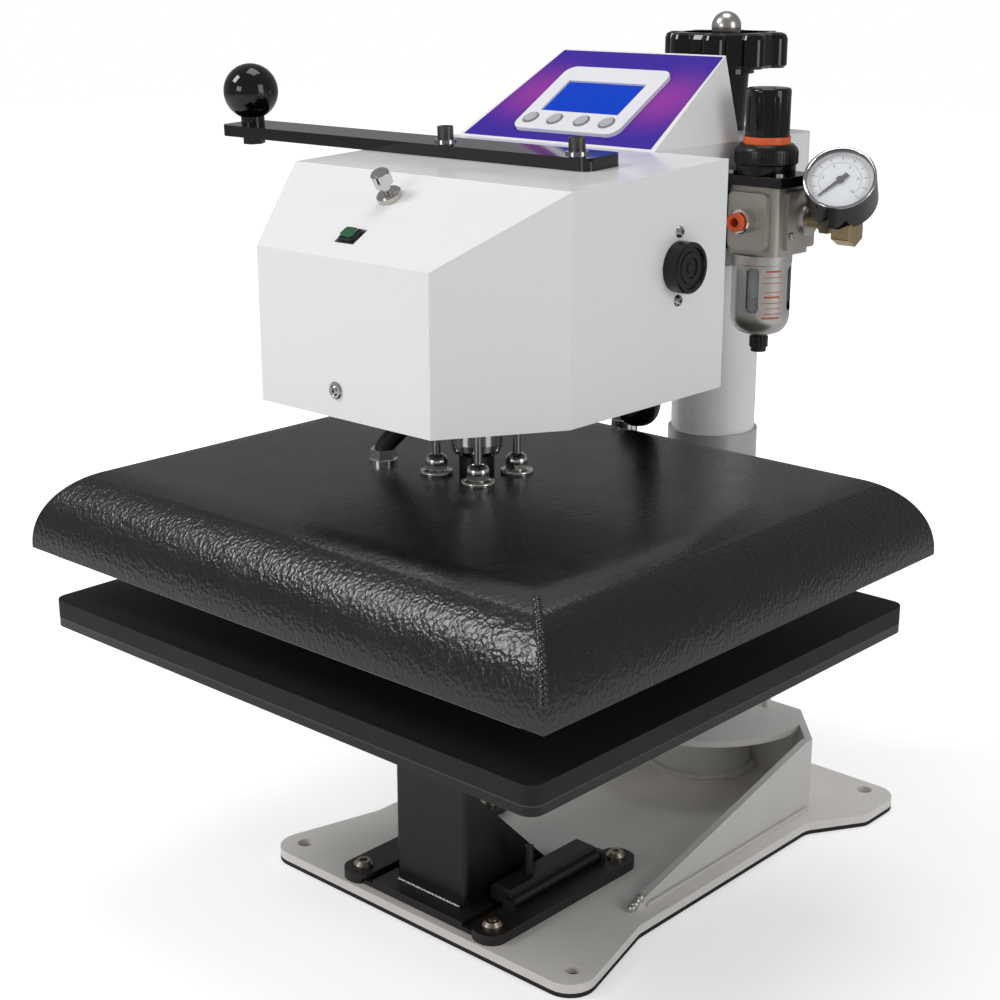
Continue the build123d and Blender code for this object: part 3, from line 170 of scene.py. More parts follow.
# Name: colour, roughness, metal, and what else differs from plain
SURFACES = {
    "base_rubber": ((0.02, 0.02, 0.02), 0.85, 0.0, {}),
    "base_steel": ((0.88, 0.85, 0.81), 0.44, 0.0, {"bump": 0.12, "scale": 2200, "mottle": 0.06, "rough_var": 0.06}),
    "base_wall": ((0.7, 0.685, 0.66), 0.4, 0.1, {"bump": 0.1, "scale": 2200, "mottle": 0.06}),
    "sleeve_grey": ((0.5, 0.5, 0.5), 0.36, 0.3, {"mottle": 0.05}),
    "black_coat": ((0.004, 0.004, 0.004), 0.3, 0.0, {"bump": 0.03, "scale": 2500}),
    "rail_coat": ((0.013, 0.011, 0.01), 0.42, 0.0, {"bump": 0.1, "scale": 1800, "mottle": 0.15}),
    "gloss_edge": ((0.003, 0.003, 0.003), 0.12, 0.0, {"spec": 0.4}),
    "pad": ((0.0095, 0.008, 0.0076), 0.62, 0.0, {"bump": 0.1, "scale": 3500, "mottle": 0.12, "spec": 0.35}),
    "white": ((0.93, 0.93, 0.93), 0.22, 0.0, {"mottle": 0.006, "coat": 0.25}),
    "white_tube": ((0.92, 0.92, 0.91), 0.25, 0.0, {"coat": 0.3}),
    "chrome": ((0.62, 0.62, 0.64), 0.1, 1.0, {}),
    "dark_chrome": ((0.58, 0.55, 0.51), 0.2, 1.0, {}),
    "steel": ((0.45, 0.45, 0.45), 0.25, 1.0, {"mottle": 0.08}),
    "dark_steel": ((0.12, 0.115, 0.11), 0.35, 1.0, {}),
    "nickel": ((0.74, 0.72, 0.69), 0.16, 1.0, {"mottle": 0.08}),
    "ball_steel": ((0.55, 0.53, 0.5), 0.28, 1.0, {}),
    "zinc": ((0.46, 0.43, 0.39), 0.38, 0.6, {"bump": 0.1, "scale": 1600, "mottle": 0.08}),
    "guard": ((0.53, 0.51, 0.48), 0.3, 0.85, {"mottle": 0.06}),
    "black_gloss": ((0.002, 0.002, 0.002), 0.06, 0.0, {}),
    "black_satin": ((0.004, 0.004, 0.004), 0.3, 0.0, {"spec": 0.4}),
    "black_matte": ((0.012, 0.012, 0.012), 0.6, 0.0, {}),
    "orange": ((0.85, 0.13, 0.03), 0.3, 0.0, {}),
    "green": ((0.004, 0.1, 0.03), 0.12, 0.0, {"coat": 0.5, "mottle": 0.3}),
    "clear": ((0.75, 0.78, 0.8), 0.08, 0.0, {"alpha": 0.3}),
    "filter": ((0.75, 0.75, 0.73), 0.6, 0.0, {}),
    "dial": ((0.86, 0.87, 0.88), 0.35, 0.0, {"coat": 0.2}),
    "ink": ((0.02, 0.02, 0.025), 0.5, 0.0, {}),
    "ink_grey": ((0.28, 0.28, 0.3), 0.5, 0.0, {}),
    "ink_red": ((0.6, 0.09, 0.06), 0.45, 0.0, {}),
    "brass": ((0.44, 0.35, 0.2), 0.32, 0.9, {"mottle": 0.12}),
    "plastic_white": ((0.86, 0.86, 0.9), 0.3, 0.0, {"coat": 0.1}),
    "lcd": ((0.0, 0.045, 0.5), 0.3, 0.0, {"emit": 0.16, "spec": 0.1}),
    "key": ((0.48, 0.48, 0.5), 0.4, 0.0, {}),
    "lens": ((0.9, 0.92, 0.95), 0.03, 0.0, {"alpha": 0.08, "spec": 0.8}),
    "weld": ((0.55, 0.54, 0.52), 0.25, 0.7, {"bump": 0.3, "scale": 700}),
    "bronze": ((0.38, 0.33, 0.27), 0.3, 1.0, {}),
    "seam": ((0.006, 0.005, 0.005), 0.2, 0.0, {"bump": 0.5, "scale": 500, "spec": 0.7}),
    "nut_rim": ((0.86, 0.84, 0.81), 0.2, 0.75, {}),
    # Dark metal for the thin band between table plate and pad, a painted highlight line
    "highlight_band_metal": ((0.09, 0.085, 0.08), 0.25, 0.8, {}),
    "cast": ((0.3, 0.3, 0.3), 0.5, 0.7, {}),
}
M = {name: mat(name, color, rough, metal, **more) for name, (color, rough, metal, more) in SURFACES.items()}
M["wrinkle"] = wrinkle_material()
M["panel"] = panel_material()

# Surface of each node of the frame
PAINT = {
    "base_rubber": ["base_mat"],
    "base_steel": ["base_plate"],
    "base_wall": ["base_gussets", "post_socket"],
    "sleeve_grey": ["post_sleeve"],
    "rail_coat": ["sled_rails", "table_sled", "lock_bar"],
    "black_coat": ["table_pedestal", "ram_coupling"],
    "gloss_edge": ["table_plate"],
    "pad": ["table_pad"],
    "white": ["head_cover", "arm_housing", "control_box"],
    "white_tube": ["post_tube"],
    "chrome": ["ram", "valve_knob"],
    "dark_chrome": ["valve_collar"],
    "steel": ["head_frame", "post_core", "platen_studs", "cover_screws", "swing_bush"],
    "dark_steel": ["handle_screws"],
    "bronze": ["rail_screws"],
    "nickel": ["levelling_nuts", "lead_glands", "inlet_fitting"],
    "ball_steel": ["lift_screw"],
    "zinc": ["regulator_body"],
    "guard": ["bowl_guard"],
    "black_gloss": ["handle_ball", "handwheel", "handle_bar", "gauge_case", "regulator_knob"],
    "black_satin": ["regulator_bonnet", "regulator_bracket", "side_sounder", "button_bezel", "drain_valve"],
    "black_matte": ["heater_leads"],
    "ink": ["gauge_needle"],
    "orange": ["regulator_ring", "release_collet"],
    "green": ["power_button"],
    "clear": ["filter_bowl"],
    "filter": ["filter_element"],
    "dial": ["gauge_dial"],
    "brass": ["gauge_elbow"],
    "plastic_white": ["control_bezel"],
    "lcd": ["control_display"],
    "key": ["key_1", "key_2", "key_3", "key_4"],
    "cast": ["heat_platen", "air_cylinder"],
    "wrinkle": ["platen_cover"],
}
# Widths of softened edges in metres
BEVEL = {
    "head_cover": 0.0012, "table_pad": 0.0015, "table_plate": 0.0012, "control_box": 0.0012,
    "arm_housing": 0.0015, "base_plate": 0.0010, "base_gussets": 0.0008, "handle_bar": 0.0008,
    "sled_rails": 0.0008, "table_sled": 0.0005, "table_pedestal": 0.0010, "lock_bar": 0.0005,
    "regulator_body": 0.0010, "regulator_bonnet": 0.0004, "control_bezel": 0.0010,
    "gauge_case": 0.0008, "side_sounder": 0.0006, "handle_screws": 0.0005,
}


def finish_mesh(obj, material, bevel=0.0):
    """Give a piece its material, smooth shading with sharp edges, and a bevel."""
    mesh = obj.data
    mesh.materials.clear()
    mesh.materials.append(material)
    for poly in mesh.polygons:
        poly.use_smooth = True
    mesh.set_sharp_from_angle(angle=math.radians(32))
    if bevel:
        edge = obj.modifiers.new("edge", "BEVEL")
        edge.width = bevel
        edge.segments = 3
        edge.limit_method = "ANGLE"
        edge.angle_limit = math.radians(38)
        edge.harden_normals = True


for key, names in PAINT.items():
    for name in names:
        finish_mesh(NODES[name], M[key], BEVEL.get(name, 0.0))


def mm(*point):
    """Point in metres from millimetres."""
    return tuple(c / 1000 for c in point)


def place_mesh(name, mesh, material, body, matrix=None, bevel=0.0):
    """Object of a mesh, placed, finished and riding on its body."""
    obj = bpy.data.objects.new(name, mesh)
    bpy.context.collection.objects.link(obj)
    if matrix is not None:
        obj.matrix_world = matrix
    finish_mesh(obj, material, bevel)
    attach(obj, body)
    return obj


def add_mesh(name, bm, material, body, matrix=None, bevel=0.0):
    mesh = bpy.data.meshes.new(name)
    bm.to_mesh(mesh)
    bm.free()
    return place_mesh(name, mesh, material, body, matrix, bevel)


def add_curve(name, curve, material, body, matrix=None, shift=(0, 0, 0)):
    """Piece made from the mesh of a text or a hose, shifted in mm."""
    temp = bpy.data.objects.new(name + "_curve", curve)
    bpy.context.collection.objects.link(temp)
    bpy.context.view_layer.update()
    mesh = bpy.data.meshes.new_from_object(temp)
    bpy.data.objects.remove(temp)
    mesh.transform(Matrix.Translation(mm(*shift)))
    return place_mesh(name, mesh, material, body, matrix)


def basis(origin, x_axis, z_axis):
    """Matrix of a local plane: origin in mm, x along x_axis, z along z_axis."""
    z = Vector(z_axis).normalized()
    x = (Vector(x_axis) - z * Vector(x_axis).dot(z)).normalized()
    y = z.cross(x)
    m = Matrix((x, y, z)).transposed().to_4x4()
    m.translation = Vector(origin) / 1000
    return m


def circle(r, count, x=0.0, y=0.0):
    """Points of a circle in mm."""
    turns = [2 * math.pi * i / count for i in range(count)]
    return [(x + r * math.cos(a), y + r * math.sin(a)) for a in turns]


def bridge(bm, low, high):
    """Faces between two closed rows of as many points."""
    for i in range(len(low)):
        j = (i + 1) % len(low)
        bm.faces.new((low[i], low[j], high[j], high[i]))


def row(bm, points, z):
    """Points of one outline in mm at height z."""
    return [bm.verts.new(mm(x, y, z)) for x, y in points]


def box_bm(x0, x1, y0, y1, z0, z1, bm):
    """Box between limits given in mm."""
    size = Vector((x1 - x0, y1 - y0, z1 - z0)) / 1000
    centre = Vector((x1 + x0, y1 + y0, z1 + z0)) / 2000
    bmesh.ops.create_cube(bm, size=1, matrix=Matrix.Translation(centre) @ Matrix.Diagonal((*size, 1)))


def disc_bm(x, y, z0, z1, r, bm=None, segments=32):
    """Upright cylinder in mm."""
    bm = bm or bmesh.new()
    place = Matrix.Translation(Vector((x, y, (z0 + z1) / 2)) / 1000)
    bmesh.ops.create_cone(bm, cap_ends=True, segments=segments, radius1=r / 1000,
                          radius2=r / 1000, depth=(z1 - z0) / 1000, matrix=place)
    return bm


def poly_bm(points, z0, z1):
    """Flat polygon in mm with thickness."""
    bm = bmesh.new()
    low = row(bm, points, z0)
    high = row(bm, points, z1)
    bm.faces.new(list(reversed(low)))
    bm.faces.new(high)
    bridge(bm, low, high)
    return bm


def rounded_points(points, radii, steps=8):
    """Closed outline in mm with each corner rounded by its own radius."""
    out = []
    n = len(points)
    for i in range(n):
        p = Vector(points[i])
        a = (Vector(points[i - 1]) - p).normalized()
        b = (Vector(points[(i + 1) % n]) - p).normalized()
        half = math.acos(max(-1.0, min(1.0, a.dot(b)))) / 2
        reach = radii[i] / math.tan(half)
        centre = p + (a + b).normalized() * (radii[i] / math.sin(half))
        start = p + a * reach - centre
        end = p + b * reach - centre
        turn = start.angle_signed(end)
        for k in range(steps + 1):
            t = -turn * k / steps
            x = start.x * math.cos(t) - start.y * math.sin(t)
            y = start.x * math.sin(t) + start.y * math.cos(t)
            out.append((centre.x + x, centre.y + y))
    return out


def rounded_box(half_x, half_y, r):
    """Rounded rectangle about the origin in mm."""
    corners = [(half_x, -half_y), (half_x, half_y), (-half_x, half_y), (-half_x, -half_y)]
    return rounded_points(corners, [r] * 4)


def slab_bm(outline, holes, z0, z1):
    """Plate in mm with round holes given as (x, y, r)."""
    bm = bmesh.new()
    edges = []
    for loop in [outline] + [circle(r, 32, x, y) for x, y, r in holes]:
        verts = row(bm, loop, z0)
        edges += [bm.edges.new((verts[i], verts[(i + 1) % len(verts)])) for i in range(len(verts))]
    bmesh.ops.triangle_fill(bm, edges=edges, use_beauty=True, use_dissolve=False)
    made = bmesh.ops.extrude_face_region(bm, geom=list(bm.faces))
    up = [v for v in made["geom"] if isinstance(v, bmesh.types.BMVert)]
    bmesh.ops.translate(bm, vec=(0, 0, (z1 - z0) / 1000), verts=up)
    bmesh.ops.recalc_face_normals(bm, faces=bm.faces)
    return bm


def lathe_bm(profile, segments=64, x=0.0, y=0.0, bm=None):
    """Turned shape in mm from (radius, z) pairs, closed where the radius is zero."""
    bm = bm or bmesh.new()
    rings = []
    for r, z in profile:
        rings.append(row(bm, [(x, y)] if r < 1e-6 else circle(r, segments, x, y), z))
    for low, high in zip(rings, rings[1:]):
        for i in range(segments):
            j = (i + 1) % segments
            quad = [low[i % len(low)], low[j % len(low)], high[j % len(high)], high[i % len(high)]]
            quad = [v for k, v in enumerate(quad) if v not in quad[:k]]
            if len(quad) > 2:
                bm.faces.new(quad)
    return bm


def close_seams(bm):
    """Join the first and last ring of profiles that end where they begin."""
    bmesh.ops.remove_doubles(bm, verts=bm.verts, dist=WELD_DISTANCE)


def bead(name, points, radius, material, body):
    """Lumpy weld bead along a path in mm."""
    bm = bmesh.new()
    lump = 0
    for a, b in zip(points, points[1:]):
        a, b = Vector(a), Vector(b)
        steps = max(2, int((b - a).length / (radius * 0.8)))
        for i in range(steps):
            r = radius * (1.0 + 0.12 * math.sin(lump * 2.3))
            place = Matrix.Translation(a.lerp(b, i / steps) / 1000)
            bmesh.ops.create_icosphere(bm, subdivisions=2, radius=r / 1000, matrix=place)
            lump += 1
    add_mesh(name, bm, material, body)


# Base plate and mat with the waisted outline, bolt holes kept
half = [(141, -64), (118.5, 22), (118.5, 212), (143, 252), (143, 298)]
outline = half + [(-x, y) for x, y in reversed(half)]
radii = [17, 18, 18, 13, 17]
base_line = rounded_points(outline, radii + radii[::-1])
holes = [(x, y, 5.5) for x in (-120.2, 120.2) for y in (-45.3, 285.7)]
plate_bm = slab_bm(base_line, holes, BASE_MAT_T, BASE_TOP)
plate_obj = add_mesh("base_plate_skin", plate_bm, M["base_steel"], "base", None, 0.0009)
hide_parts("base_plate")
# The mat under the plate is near-black and draws the dark line beneath the plate's edge
mat_obj = add_mesh("base_mat_skin", slab_bm(base_line, holes, 0.0, BASE_MAT_T), M["base_rubber"], "base")
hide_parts("base_mat")

# Table plate and pad with their tight corners, and a thin metal band between them as a painted highlight along the
# plate's top edge
table_line = rounded_box(TABLE_HALF_X, TABLE_HALF_Y, TABLE_CORNER)
pad_bm = slab_bm(table_line, [], PAD_Z0, PAD_Z1)
pad_obj = add_mesh("table_pad_skin", pad_bm, M["pad"], "table", None, 0.0014)
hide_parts("table_pad")
low_bm = slab_bm(table_line, [], PLATE_Z0, PLATE_Z1)
low_obj = add_mesh("table_plate_skin", low_bm, M["gloss_edge"], "table", None, 0.0012)
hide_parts("table_plate")
# Thin metal band between plate and pad: painted highlight standing for the lit top edge of the plate
add_mesh("plate_highlight_band", slab_bm(table_line, [], PLATE_Z1 - 0.1, PAD_Z0 + 0.1), M["highlight_band_metal"], "table")


def cover_layer(inset, bm, steps=22):
    """Rolled cover surface as stacked rectangles with mitred corners; returns its lowest row."""
    half_w, y0, y1 = COVER_HALF - inset, COVER_FRONT + inset, COVER_REAR - inset
    roll = COVER_ROLL - inset
    levels = [(0.0, COVER_RIM), (0.0, COVER_FOOT)]
    for i in range(steps):
        t = math.pi / 2 * (i + 1) / steps
        levels.append((roll - roll * math.cos(t), COVER_FOOT + roll * math.sin(t)))
    rows = []
    for u, z in levels:
        x, front, rear = half_w - u, y0 + u, y1 - u
        rows.append(row(bm, [(-x, front), (x, front), (x, rear), (-x, rear)], z))
    for low, high in zip(rows, rows[1:]):
        bridge(bm, low, high)
    bm.faces.new(rows[-1])
    return rows[0]


cover = bmesh.new()
outer_rim = cover_layer(0.0, cover)
inner_rim = cover_layer(COVER_SHEET, cover)
bridge(cover, outer_rim, inner_rim)
bmesh.ops.recalc_face_normals(cover, faces=cover.faces)
cover_obj = add_mesh("platen_cover_skin", cover, M["wrinkle"], "platen")
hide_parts("platen_cover")

# Sounder with concentric rings
SIDE = basis((111, 53, 422), (0, 1, 0), (1, 0, 0))
sounder = [(0, 0), (15, 0), (15, 9.0), (14.2, 10), (12.2, 10), (11.6, 8.6), (9.6, 8.6), (9.2, 9.2), (6.2, 9.2),
           (5.9, 8.4), (3.4, 8.4), (3.1, 9.0), (0, 9.0)]
obj = add_mesh("side_sounder_skin", lathe_bm(sounder), M["black_satin"], "head", SIDE)
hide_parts("side_sounder")

# Regulator bonnet in two ribbed tiers on a square flange
tiers = [(0, 461.5), (18.6, 461.5), (18.9, 462.2), (18.9, 467.5), (20.0, 468.2), (20.0, 476.5), (19.3, 478.2),
         (17.0, 480.3), (14.8, 480.6), (0, 480.6)]
bonnet = lathe_bm(tiers, 72, REG_X, REG_Y)
for x, y in circle(19.8, 60, REG_X, REG_Y):
    disc_bm(x, y, 468.6, 476.2, 0.5, bonnet, 6)
box_bm(59.3, 102.7, 167.3, 210.7, 455.0, 461.5, bonnet)
obj = add_mesh("bonnet_skin", bonnet, M["black_satin"], "head", None, 0.0005)
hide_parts("regulator_bonnet")

# Slotted bowl guard turned so that a slot faces left and one right of the viewer
levels = [(10.0, 359.0), (13.2, 360.2), (15.8, 362.4), (17.7, 365.4), (18.7, 368.6), (GUARD_R, 372.0)]
levels += [(GUARD_R, 372.0 + 1.5 * i) for i in range(1, 23)] + [(GUARD_R, 411.0)]
slots = [math.radians(-72 + 90 * k) for k in range(4)]


def in_slot(i, z):
    """Whether the guard's cell i at height z falls in a slot with rounded ends."""
    a = 2 * math.pi * (i + 0.5) / GUARD_SEGMENTS
    if not 375.0 < z < 404.0:
        return False
    wide = 3.9 if 376.4 < z < 402.6 else 2.9
    return any(abs(math.atan2(math.sin(a - b), math.cos(a - b))) * GUARD_R < wide for b in slots)


guard = bmesh.new()
for thick in (0.0, GUARD_SHEET):
    rows = []
    for r, z in levels:
        rows.append(row(guard, circle(r - thick, GUARD_SEGMENTS, REG_X, REG_Y), z + (thick if z < 370 else 0)))
    for k in range(len(levels) - 1):
        mid = (levels[k][1] + levels[k + 1][1]) / 2
        for i in range(GUARD_SEGMENTS):
            if not in_slot(i, mid):
                j = (i + 1) % GUARD_SEGMENTS
                guard.faces.new((rows[k][i], rows[k][j], rows[k + 1][j], rows[k + 1][i]))
obj = add_mesh("bowl_guard_skin", guard, M["guard"], "head")
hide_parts("bowl_guard")
lip = lathe_bm([(19.0, 404.8), (19.35, 405.2), (19.35, 410.9), (18.0, 411.0)], 96, REG_X, REG_Y)
add_mesh("guard_lip", lip, M["guard"], "head")

# Start button at its visible size, sunk in a rounded frame
BROW = basis((-8, -93.87, 443.91), (1, 0, 0), (0, -39.7, 68.2))
rim_out = rounded_box(6.4, 5.4, 2.6)
rim_in = rounded_box(4.9, 4.0, 1.8)
rim = bmesh.new()
rim_rows = [row(rim, points, z) for points, z in ((rim_out, 0.0), (rim_out, 1.4), (rim_in, 1.8), (rim_in, 0.0))]
for k in range(4):
    bridge(rim, rim_rows[k], rim_rows[(k + 1) % 4])
bmesh.ops.recalc_face_normals(rim, faces=rim.faces)
obj = add_mesh("button_bezel_skin", rim, M["black_satin"], "head", BROW, 0.0003)
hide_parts("button_bezel")
cap = slab_bm(rounded_box(4.6, 3.7, 1.6), [], 1.0, 3.4)
obj = add_mesh("power_button_skin", cap, M["green"], "start_button", BROW, 0.0008)
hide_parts("power_button")

# Dome screw on the front of the head
NOSE = basis((-5, -110.9, 358.6), (1, 0, 0), (0, -1, 0))
dome = lathe_bm([(0, 0), (5.1, 0), (5.1, 0.6), (4.4, 1.5), (3.2, 1.58), (2.4, 0.8), (1.9, 0.4), (0, 0.4)], 40)
add_mesh("front_screw_head", dome, M["steel"], "head", NOSE)

# Side plate, port boss, screw and hexagon block on the regulator's right side
RIGHT = basis((98, 0, 0), (0, 1, 0), (1, 0, 0))
side_line = rounded_points([(211, 415), (211, 452), (180, 452), (180, 415)], [2] * 4)
add_mesh("regulator_side", slab_bm(side_line, [], -0.5, 3.0), M["zinc"], "head", RIGHT, 0.0006)
boss = lathe_bm([(0, 2.9), (10.5, 2.9), (10.5, 5.5), (9.6, 7.0), (7.0, 7.2), (0, 7.2)], 48, 200.0, 433.0)
add_mesh("port_boss", boss, M["guard"], "head", RIGHT)
side_screw = lathe_bm([(0, 2.9), (2.4, 2.9), (2.4, 4.4), (1.8, 4.9), (0, 4.9)], 24, 184.0, 424.0)
add_mesh("side_screw", side_screw, M["steel"], "head", RIGHT)
elbow = disc_bm(200.0, 428.5, 27.0, 40.5, 9.4, segments=6)
add_mesh("elbow_block", elbow, M["brass"], "head", RIGHT, 0.0006)

# Coloured panel, and a dark ring round each key
PANEL = basis((0, 99, 480), (1, 0, 0), (0, -53, 89))
panel = [(-104.5, 2.0), (51.8, 2.0), (42.2, 101.5), (-90.2, 101.5)]
add_mesh("panel_overlay", poly_bm(panel, 0.0, 0.35), M["panel"], "head", PANEL)
key_rings = bmesh.new()
for u in (-58.5, -38.0, -15.5, 5.0):
    outer, inner = [row(key_rings, circle(r, 40, u, 20.8), 3.1) for r in (6.0, 4.95)]
    bridge(key_rings, outer, inner)
add_mesh("key_rings", key_rings, M["ink_grey"], "head", PANEL)

# Gauge face: ticks, two scale arcs, numbers, rim and a clear lens
AZ, EL = math.radians(25), math.radians(40)
N = Vector((math.cos(EL) * math.sin(AZ), -math.cos(EL) * math.cos(AZ), math.sin(EL)))
GAUGE = basis(Vector((132, 188, 463)) - N * 4, (math.cos(AZ), math.sin(AZ), 0), N)
TICKS = 50
ARC_STEPS = 60
ticks = bmesh.new()


def gauge_angle(share):
    """Angle on the dial at a share of the pointer's sweep."""
    return math.radians(GAUGE_START - GAUGE_SWEEP * share)


def ink_quad(points):
    ticks.faces.new(row(ticks, points, GAUGE_INK_Z))


for i in range(TICKS + 1):
    a = gauge_angle(i / TICKS)
    r0, r1, w = (14.6, 18.0, 0.28) if i % 5 == 0 else (16.4, 18.0, 0.14)
    d = Vector((math.cos(a), math.sin(a)))
    s = Vector((-d.y, d.x)) * w
    ink_quad([d * r0 - s, d * r1 - s, d * r1 + s, d * r0 + s])
for r0, r1 in ((12.9, 13.15), (18.3, 18.55)):
    for i in range(ARC_STEPS):
        a0, a1 = gauge_angle(i / ARC_STEPS), gauge_angle((i + 1) / ARC_STEPS)
        corners = [(r0, a0), (r1, a0), (r1, a1), (r0, a1)]
        ink_quad([(r * math.cos(a), r * math.sin(a)) for r, a in corners])
add_mesh("gauge_ticks", ticks, M["ink_grey"], "head", GAUGE)

for i in range(6):
    a = gauge_angle(i / 5)
    text = bpy.data.curves.new("gauge_number_%d" % i, "FONT")
    text.body = str(2 * i)
    text.size = 0.0032
    text.align_x = "CENTER"
    text.align_y = "CENTER"
    at = (11.0 * math.cos(a), 11.0 * math.sin(a), GAUGE_INK_Z)
    add_curve("gauge_number_%d" % i, text, M["ink_grey"], "head", GAUGE, at)
gauge_rim = lathe_bm([(20.75, 3.2), (20.75, 4.1), (21.2, 4.45), (22.0, 4.35), (GAUGE_RADIUS, 3.95),
                      (GAUGE_RADIUS + 0.08, 3.2), (20.75, 3.2)], 72)
close_seams(gauge_rim)
add_mesh("gauge_rim", gauge_rim, M["chrome"], "head", GAUGE)
add_mesh("gauge_lens", disc_bm(0, 0, 3.0, 3.5, 20.6, segments=64), M["lens"], "head", GAUGE)

# Printed scale on the bowl guard, plain lines
MARK_R = GUARD_R + 0.06
marks = bmesh.new()
for i, z in enumerate((401, 397.5, 394, 388, 384.5, 381, 377.5, 374, 371)):
    first, last = 313 - (i % 3) * 3, 344 + (i % 2) * 5
    top = z + (0.5 if i % 4 else 1.2)
    steps = int((last - first) / 6)
    for k in range(steps):
        turns = [math.radians(first + (last - first) * (k + n) / steps) for n in (0, 1)]
        (c0, s0), (c1, s1) = [(REG_X + MARK_R * math.cos(b), REG_Y + MARK_R * math.sin(b)) for b in turns]
        corners = [(c0, s0, z), (c1, s1, z), (c1, s1, top), (c0, s0, top)]
        marks.faces.new([marks.verts.new(mm(*corner)) for corner in corners])
add_mesh("guard_marks", marks, M["ink_red"], "head")

# Four screws on the regulator's flange
FLANGE = basis((0, 0, 461.5), (1, 0, 0), (0, 0, 1))
screws = bmesh.new()
for x in (63.0, 99.3):
    for y in (171.0, 207.0):
        disc_bm(x, y, 0, 2.4, 2.6, screws, 24)
add_mesh("regulator_screws", screws, M["steel"], "head", FLANGE, 0.0003)

# Welds on the base and the pedestal
for side, sign in (("r", 1), ("l", -1)):
    toe = [(sign * 103.5, 33, 11), (sign * 103.5, 38, 14), (sign * 103.5, 44, 16)]
    bead("weld_toe_" + side, toe, 3.2, M["weld"], "base")
for side, sign in (("r", 1), ("l", -1)):
    bead("weld_side_" + side, [(sign * 107.2, 46, 10), (sign * 107.2, 230, 10)], 1.6, M["base_wall"], "base")
bead("weld_pedestal", [(-27, -46.2, 16), (27, -46.2, 16)], 1.5, M["steel"], "table")
ring = [(x, y, 12.0) for x, y in circle(39.5, 48, 0.0, POST_Y)]
bead("weld_socket", ring + ring[:1], 2.2, M["base_wall"], "base")

# Lumpy seam down the cover's front right mitre
SEAM_DEPTH = 1.3
corner = []
for i in range(12):
    t = 0.28 + i / 11 * 1.1
    inset = COVER_ROLL - COVER_ROLL * math.cos(t)
    z = COVER_FOOT + COVER_ROLL * math.sin(t)
    corner.append((COVER_HALF - inset - SEAM_DEPTH, COVER_FRONT + inset + SEAM_DEPTH, z - SEAM_DEPTH))
bead("corner_seam", corner, 2.6, M["seam"], "platen")

# Washers under the handle's screws, on the tilted bar
TOP = basis((0, 30, 473.7 + 72.7 * 6.3 / 141.7), (1, 0, 0), (0, -6.3, 141.7))
wash = bmesh.new()
for x in (-53, 53):
    disc_bm(x, 0, 7.4, 8.75, 6.9, wash, 32)
add_mesh("handle_washers", wash, M["chrome"], "head", TOP)

# Bright rims and rounded tops of the levelling nuts
rims = bmesh.new()
domes = bmesh.new()
rim_profile = circle(1.1, 12, 9.2, 289.2)
dome_profile = [(2.7, 294.0), (6.7, 294.0), (7.1, 295.2), (6.8, 297.2), (5.8, 298.9), (4.3, 300.0), (2.7, 300.4)]
for x in (-STUD_XY, STUD_XY):
    for y in (-STUD_XY, STUD_XY):
        lathe_bm(rim_profile + rim_profile[:1], 48, x, y, rims)
        lathe_bm(dome_profile, 40, x, y, domes)
close_seams(rims)
add_mesh("nut_rims", rims, M["nut_rim"], "platen")
add_mesh("nut_domes", domes, M["nickel"], "platen")

# Sleeve on the rear heater lead, a smooth hose through its control points
rear_path = [(-8, 160, 295), (2, 160, 295), (10, 158, 298), (13, 156, 309), (15, 153, 322), (18, 151, 334)]
hose = bpy.data.curves.new("rear_sleeve", "CURVE")
hose.dimensions = "3D"
hose.bevel_depth = 0.0084
hose.bevel_resolution = 8
hose.use_fill_caps = True
hose.resolution_u = 14
spline = hose.splines.new("NURBS")
spline.points.add(len(rear_path) - 1)
for point, at in zip(spline.points, rear_path):
    point.co = (*mm(*at), 1)
spline.use_endpoint_u = True
spline.order_u = 4
add_curve("rear_sleeve", hose, M["black_satin"], "platen")

# Camera
cam = bpy.data.cameras.new("camera")
cam.lens = 64.8
cam.sensor_width = 36
cam.clip_end = 20
cam_obj = bpy.data.objects.new("camera", cam)
bpy.context.collection.objects.link(cam_obj)
cam_obj.location = (0.73274, -0.78199, 0.59424)
cam_obj.rotation_euler = (math.radians(73.166), 0.0, math.radians(42.369))
scene = bpy.context.scene
scene.camera = cam_obj
scene.view_settings.view_transform = "Standard"

# Pale floor that the camera sees run into white away from the object: a camera-only glow, weaker near the object,
# is painted light that whitens the far floor and leaves painted shade round the base
floor_bm = bmesh.new()
bmesh.ops.create_grid(floor_bm, x_segments=1, y_segments=1, size=6)
floor_mesh = bpy.data.meshes.new("floor")
floor_bm.to_mesh(floor_mesh)
floor_bm.free()
floor = bpy.data.objects.new("floor", floor_mesh)
bpy.context.collection.objects.link(floor)
floor.location.z = -0.0002
floor_mat = mat("floor", (0.93, 0.93, 0.93), 0.9, mottle=0.001, spec=0.0)
ft = floor_mat.node_tree
floor_shader = ft.nodes["Principled BSDF"]
floor_shader.inputs["Emission Color"].default_value = (1, 1, 1, 1)
floor_place = node(ft, "ShaderNodeTexCoord")
floor_away = node(ft, "ShaderNodeVectorMath", operation="LENGTH")
# Glow rises with distance from the object: painted light far off, painted shade near the base
floor_painted_light_ramp = node(ft, "ShaderNodeMapRange", {"From Min": 0.35, "From Max": 1.3, "To Min": 0.42, "To Max": 0.8})
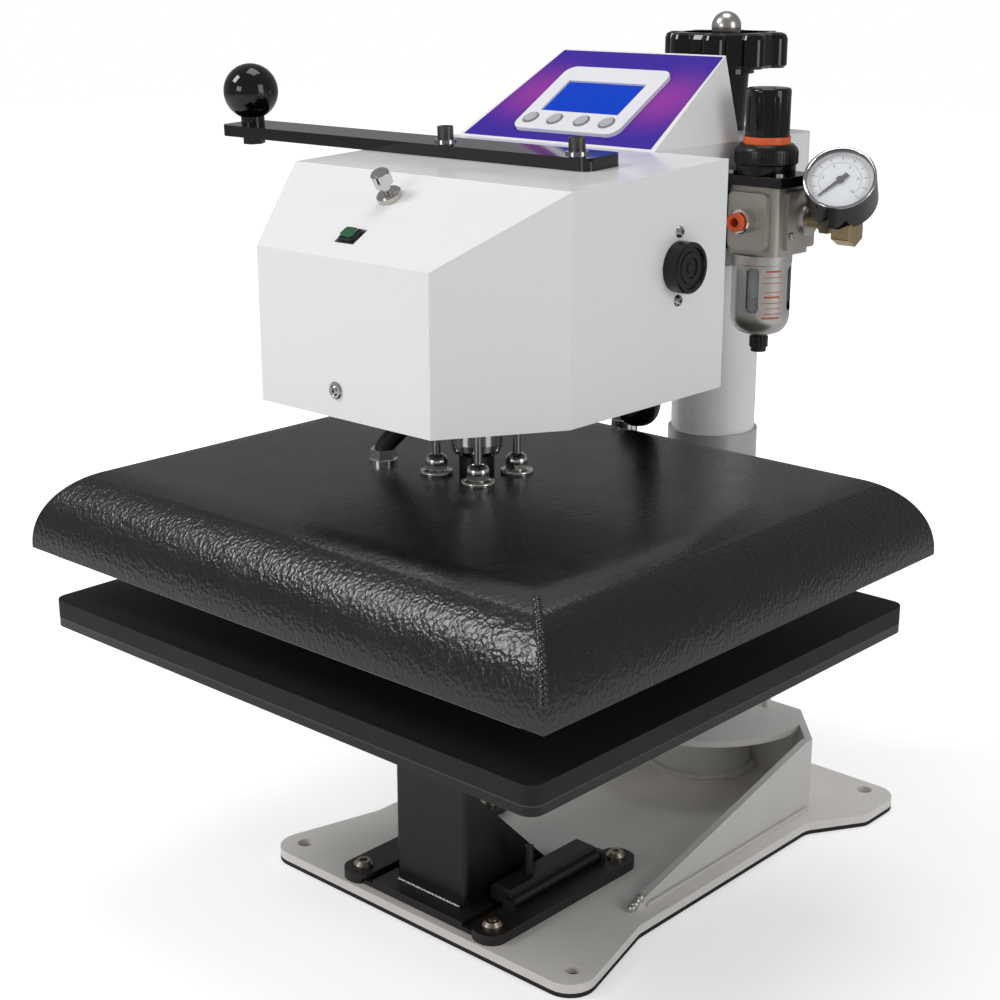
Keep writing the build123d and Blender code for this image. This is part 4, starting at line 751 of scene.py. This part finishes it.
floor_path = node(ft, "ShaderNodeLightPath")
floor_gain = node(ft, "ShaderNodeMath", operation="MULTIPLY")
ft.links.new(floor_place.outputs["Object"], floor_away.inputs[0])
ft.links.new(floor_away.outputs["Value"], floor_painted_light_ramp.inputs["Value"])
ft.links.new(floor_path.outputs["Is Camera Ray"], floor_gain.inputs[0])
ft.links.new(floor_painted_light_ramp.outputs["Result"], floor_gain.inputs[1])
ft.links.new(floor_gain.outputs[0], floor_shader.inputs["Emission Strength"])
floor_mesh.materials.append(floor_mat)

# White behind the object for the camera, soft grey light for everything else
world = bpy.data.worlds.new("studio")
scene.world = world
world.use_nodes = True
wt = world.node_tree
wt.nodes.clear()
out = node(wt, "ShaderNodeOutputWorld")
mixer = node(wt, "ShaderNodeMixShader")
path = node(wt, "ShaderNodeLightPath")
soft = node(wt, "ShaderNodeBackground", {"Color": (0.78, 0.79, 0.8, 1), "Strength": 0.38})
plain = node(wt, "ShaderNodeBackground", {"Color": (1, 1, 1, 1), "Strength": 1.0})
wt.links.new(path.outputs["Is Camera Ray"], mixer.inputs[0])
wt.links.new(soft.outputs[0], mixer.inputs[1])
wt.links.new(plain.outputs[0], mixer.inputs[2])
wt.links.new(mixer.outputs[0], out.inputs["Surface"])


def area(name, at, target, size, size_y, power):
    """Rectangular lamp at a place, turned to a target."""
    light = bpy.data.lights.new(name, "AREA")
    light.shape = "RECTANGLE"
    light.size = size
    light.size_y = size_y
    light.energy = power
    lamp = bpy.data.objects.new(name, light)
    bpy.context.collection.objects.link(lamp)
    lamp.location = at
    lamp.rotation_euler = (Vector(target) - Vector(at)).to_track_quat("-Z", "Y").to_euler()


area("key_light", (-1.35, -1.45, 2.1), (0, 0, 0.25), 0.8, 1.0, 27)
area("front_light", (-0.3, -2.4, 1.0), (0, 0, 0.25), 0.9, 0.7, 8.5)
area("top_light", (-0.1, 0.3, 2.4), (0, 0, 0.2), 1.1, 1.1, 12)
area("right_light", (2.2, 0.2, 1.0), (0, 0, 0.3), 0.9, 1.4, 11.5)
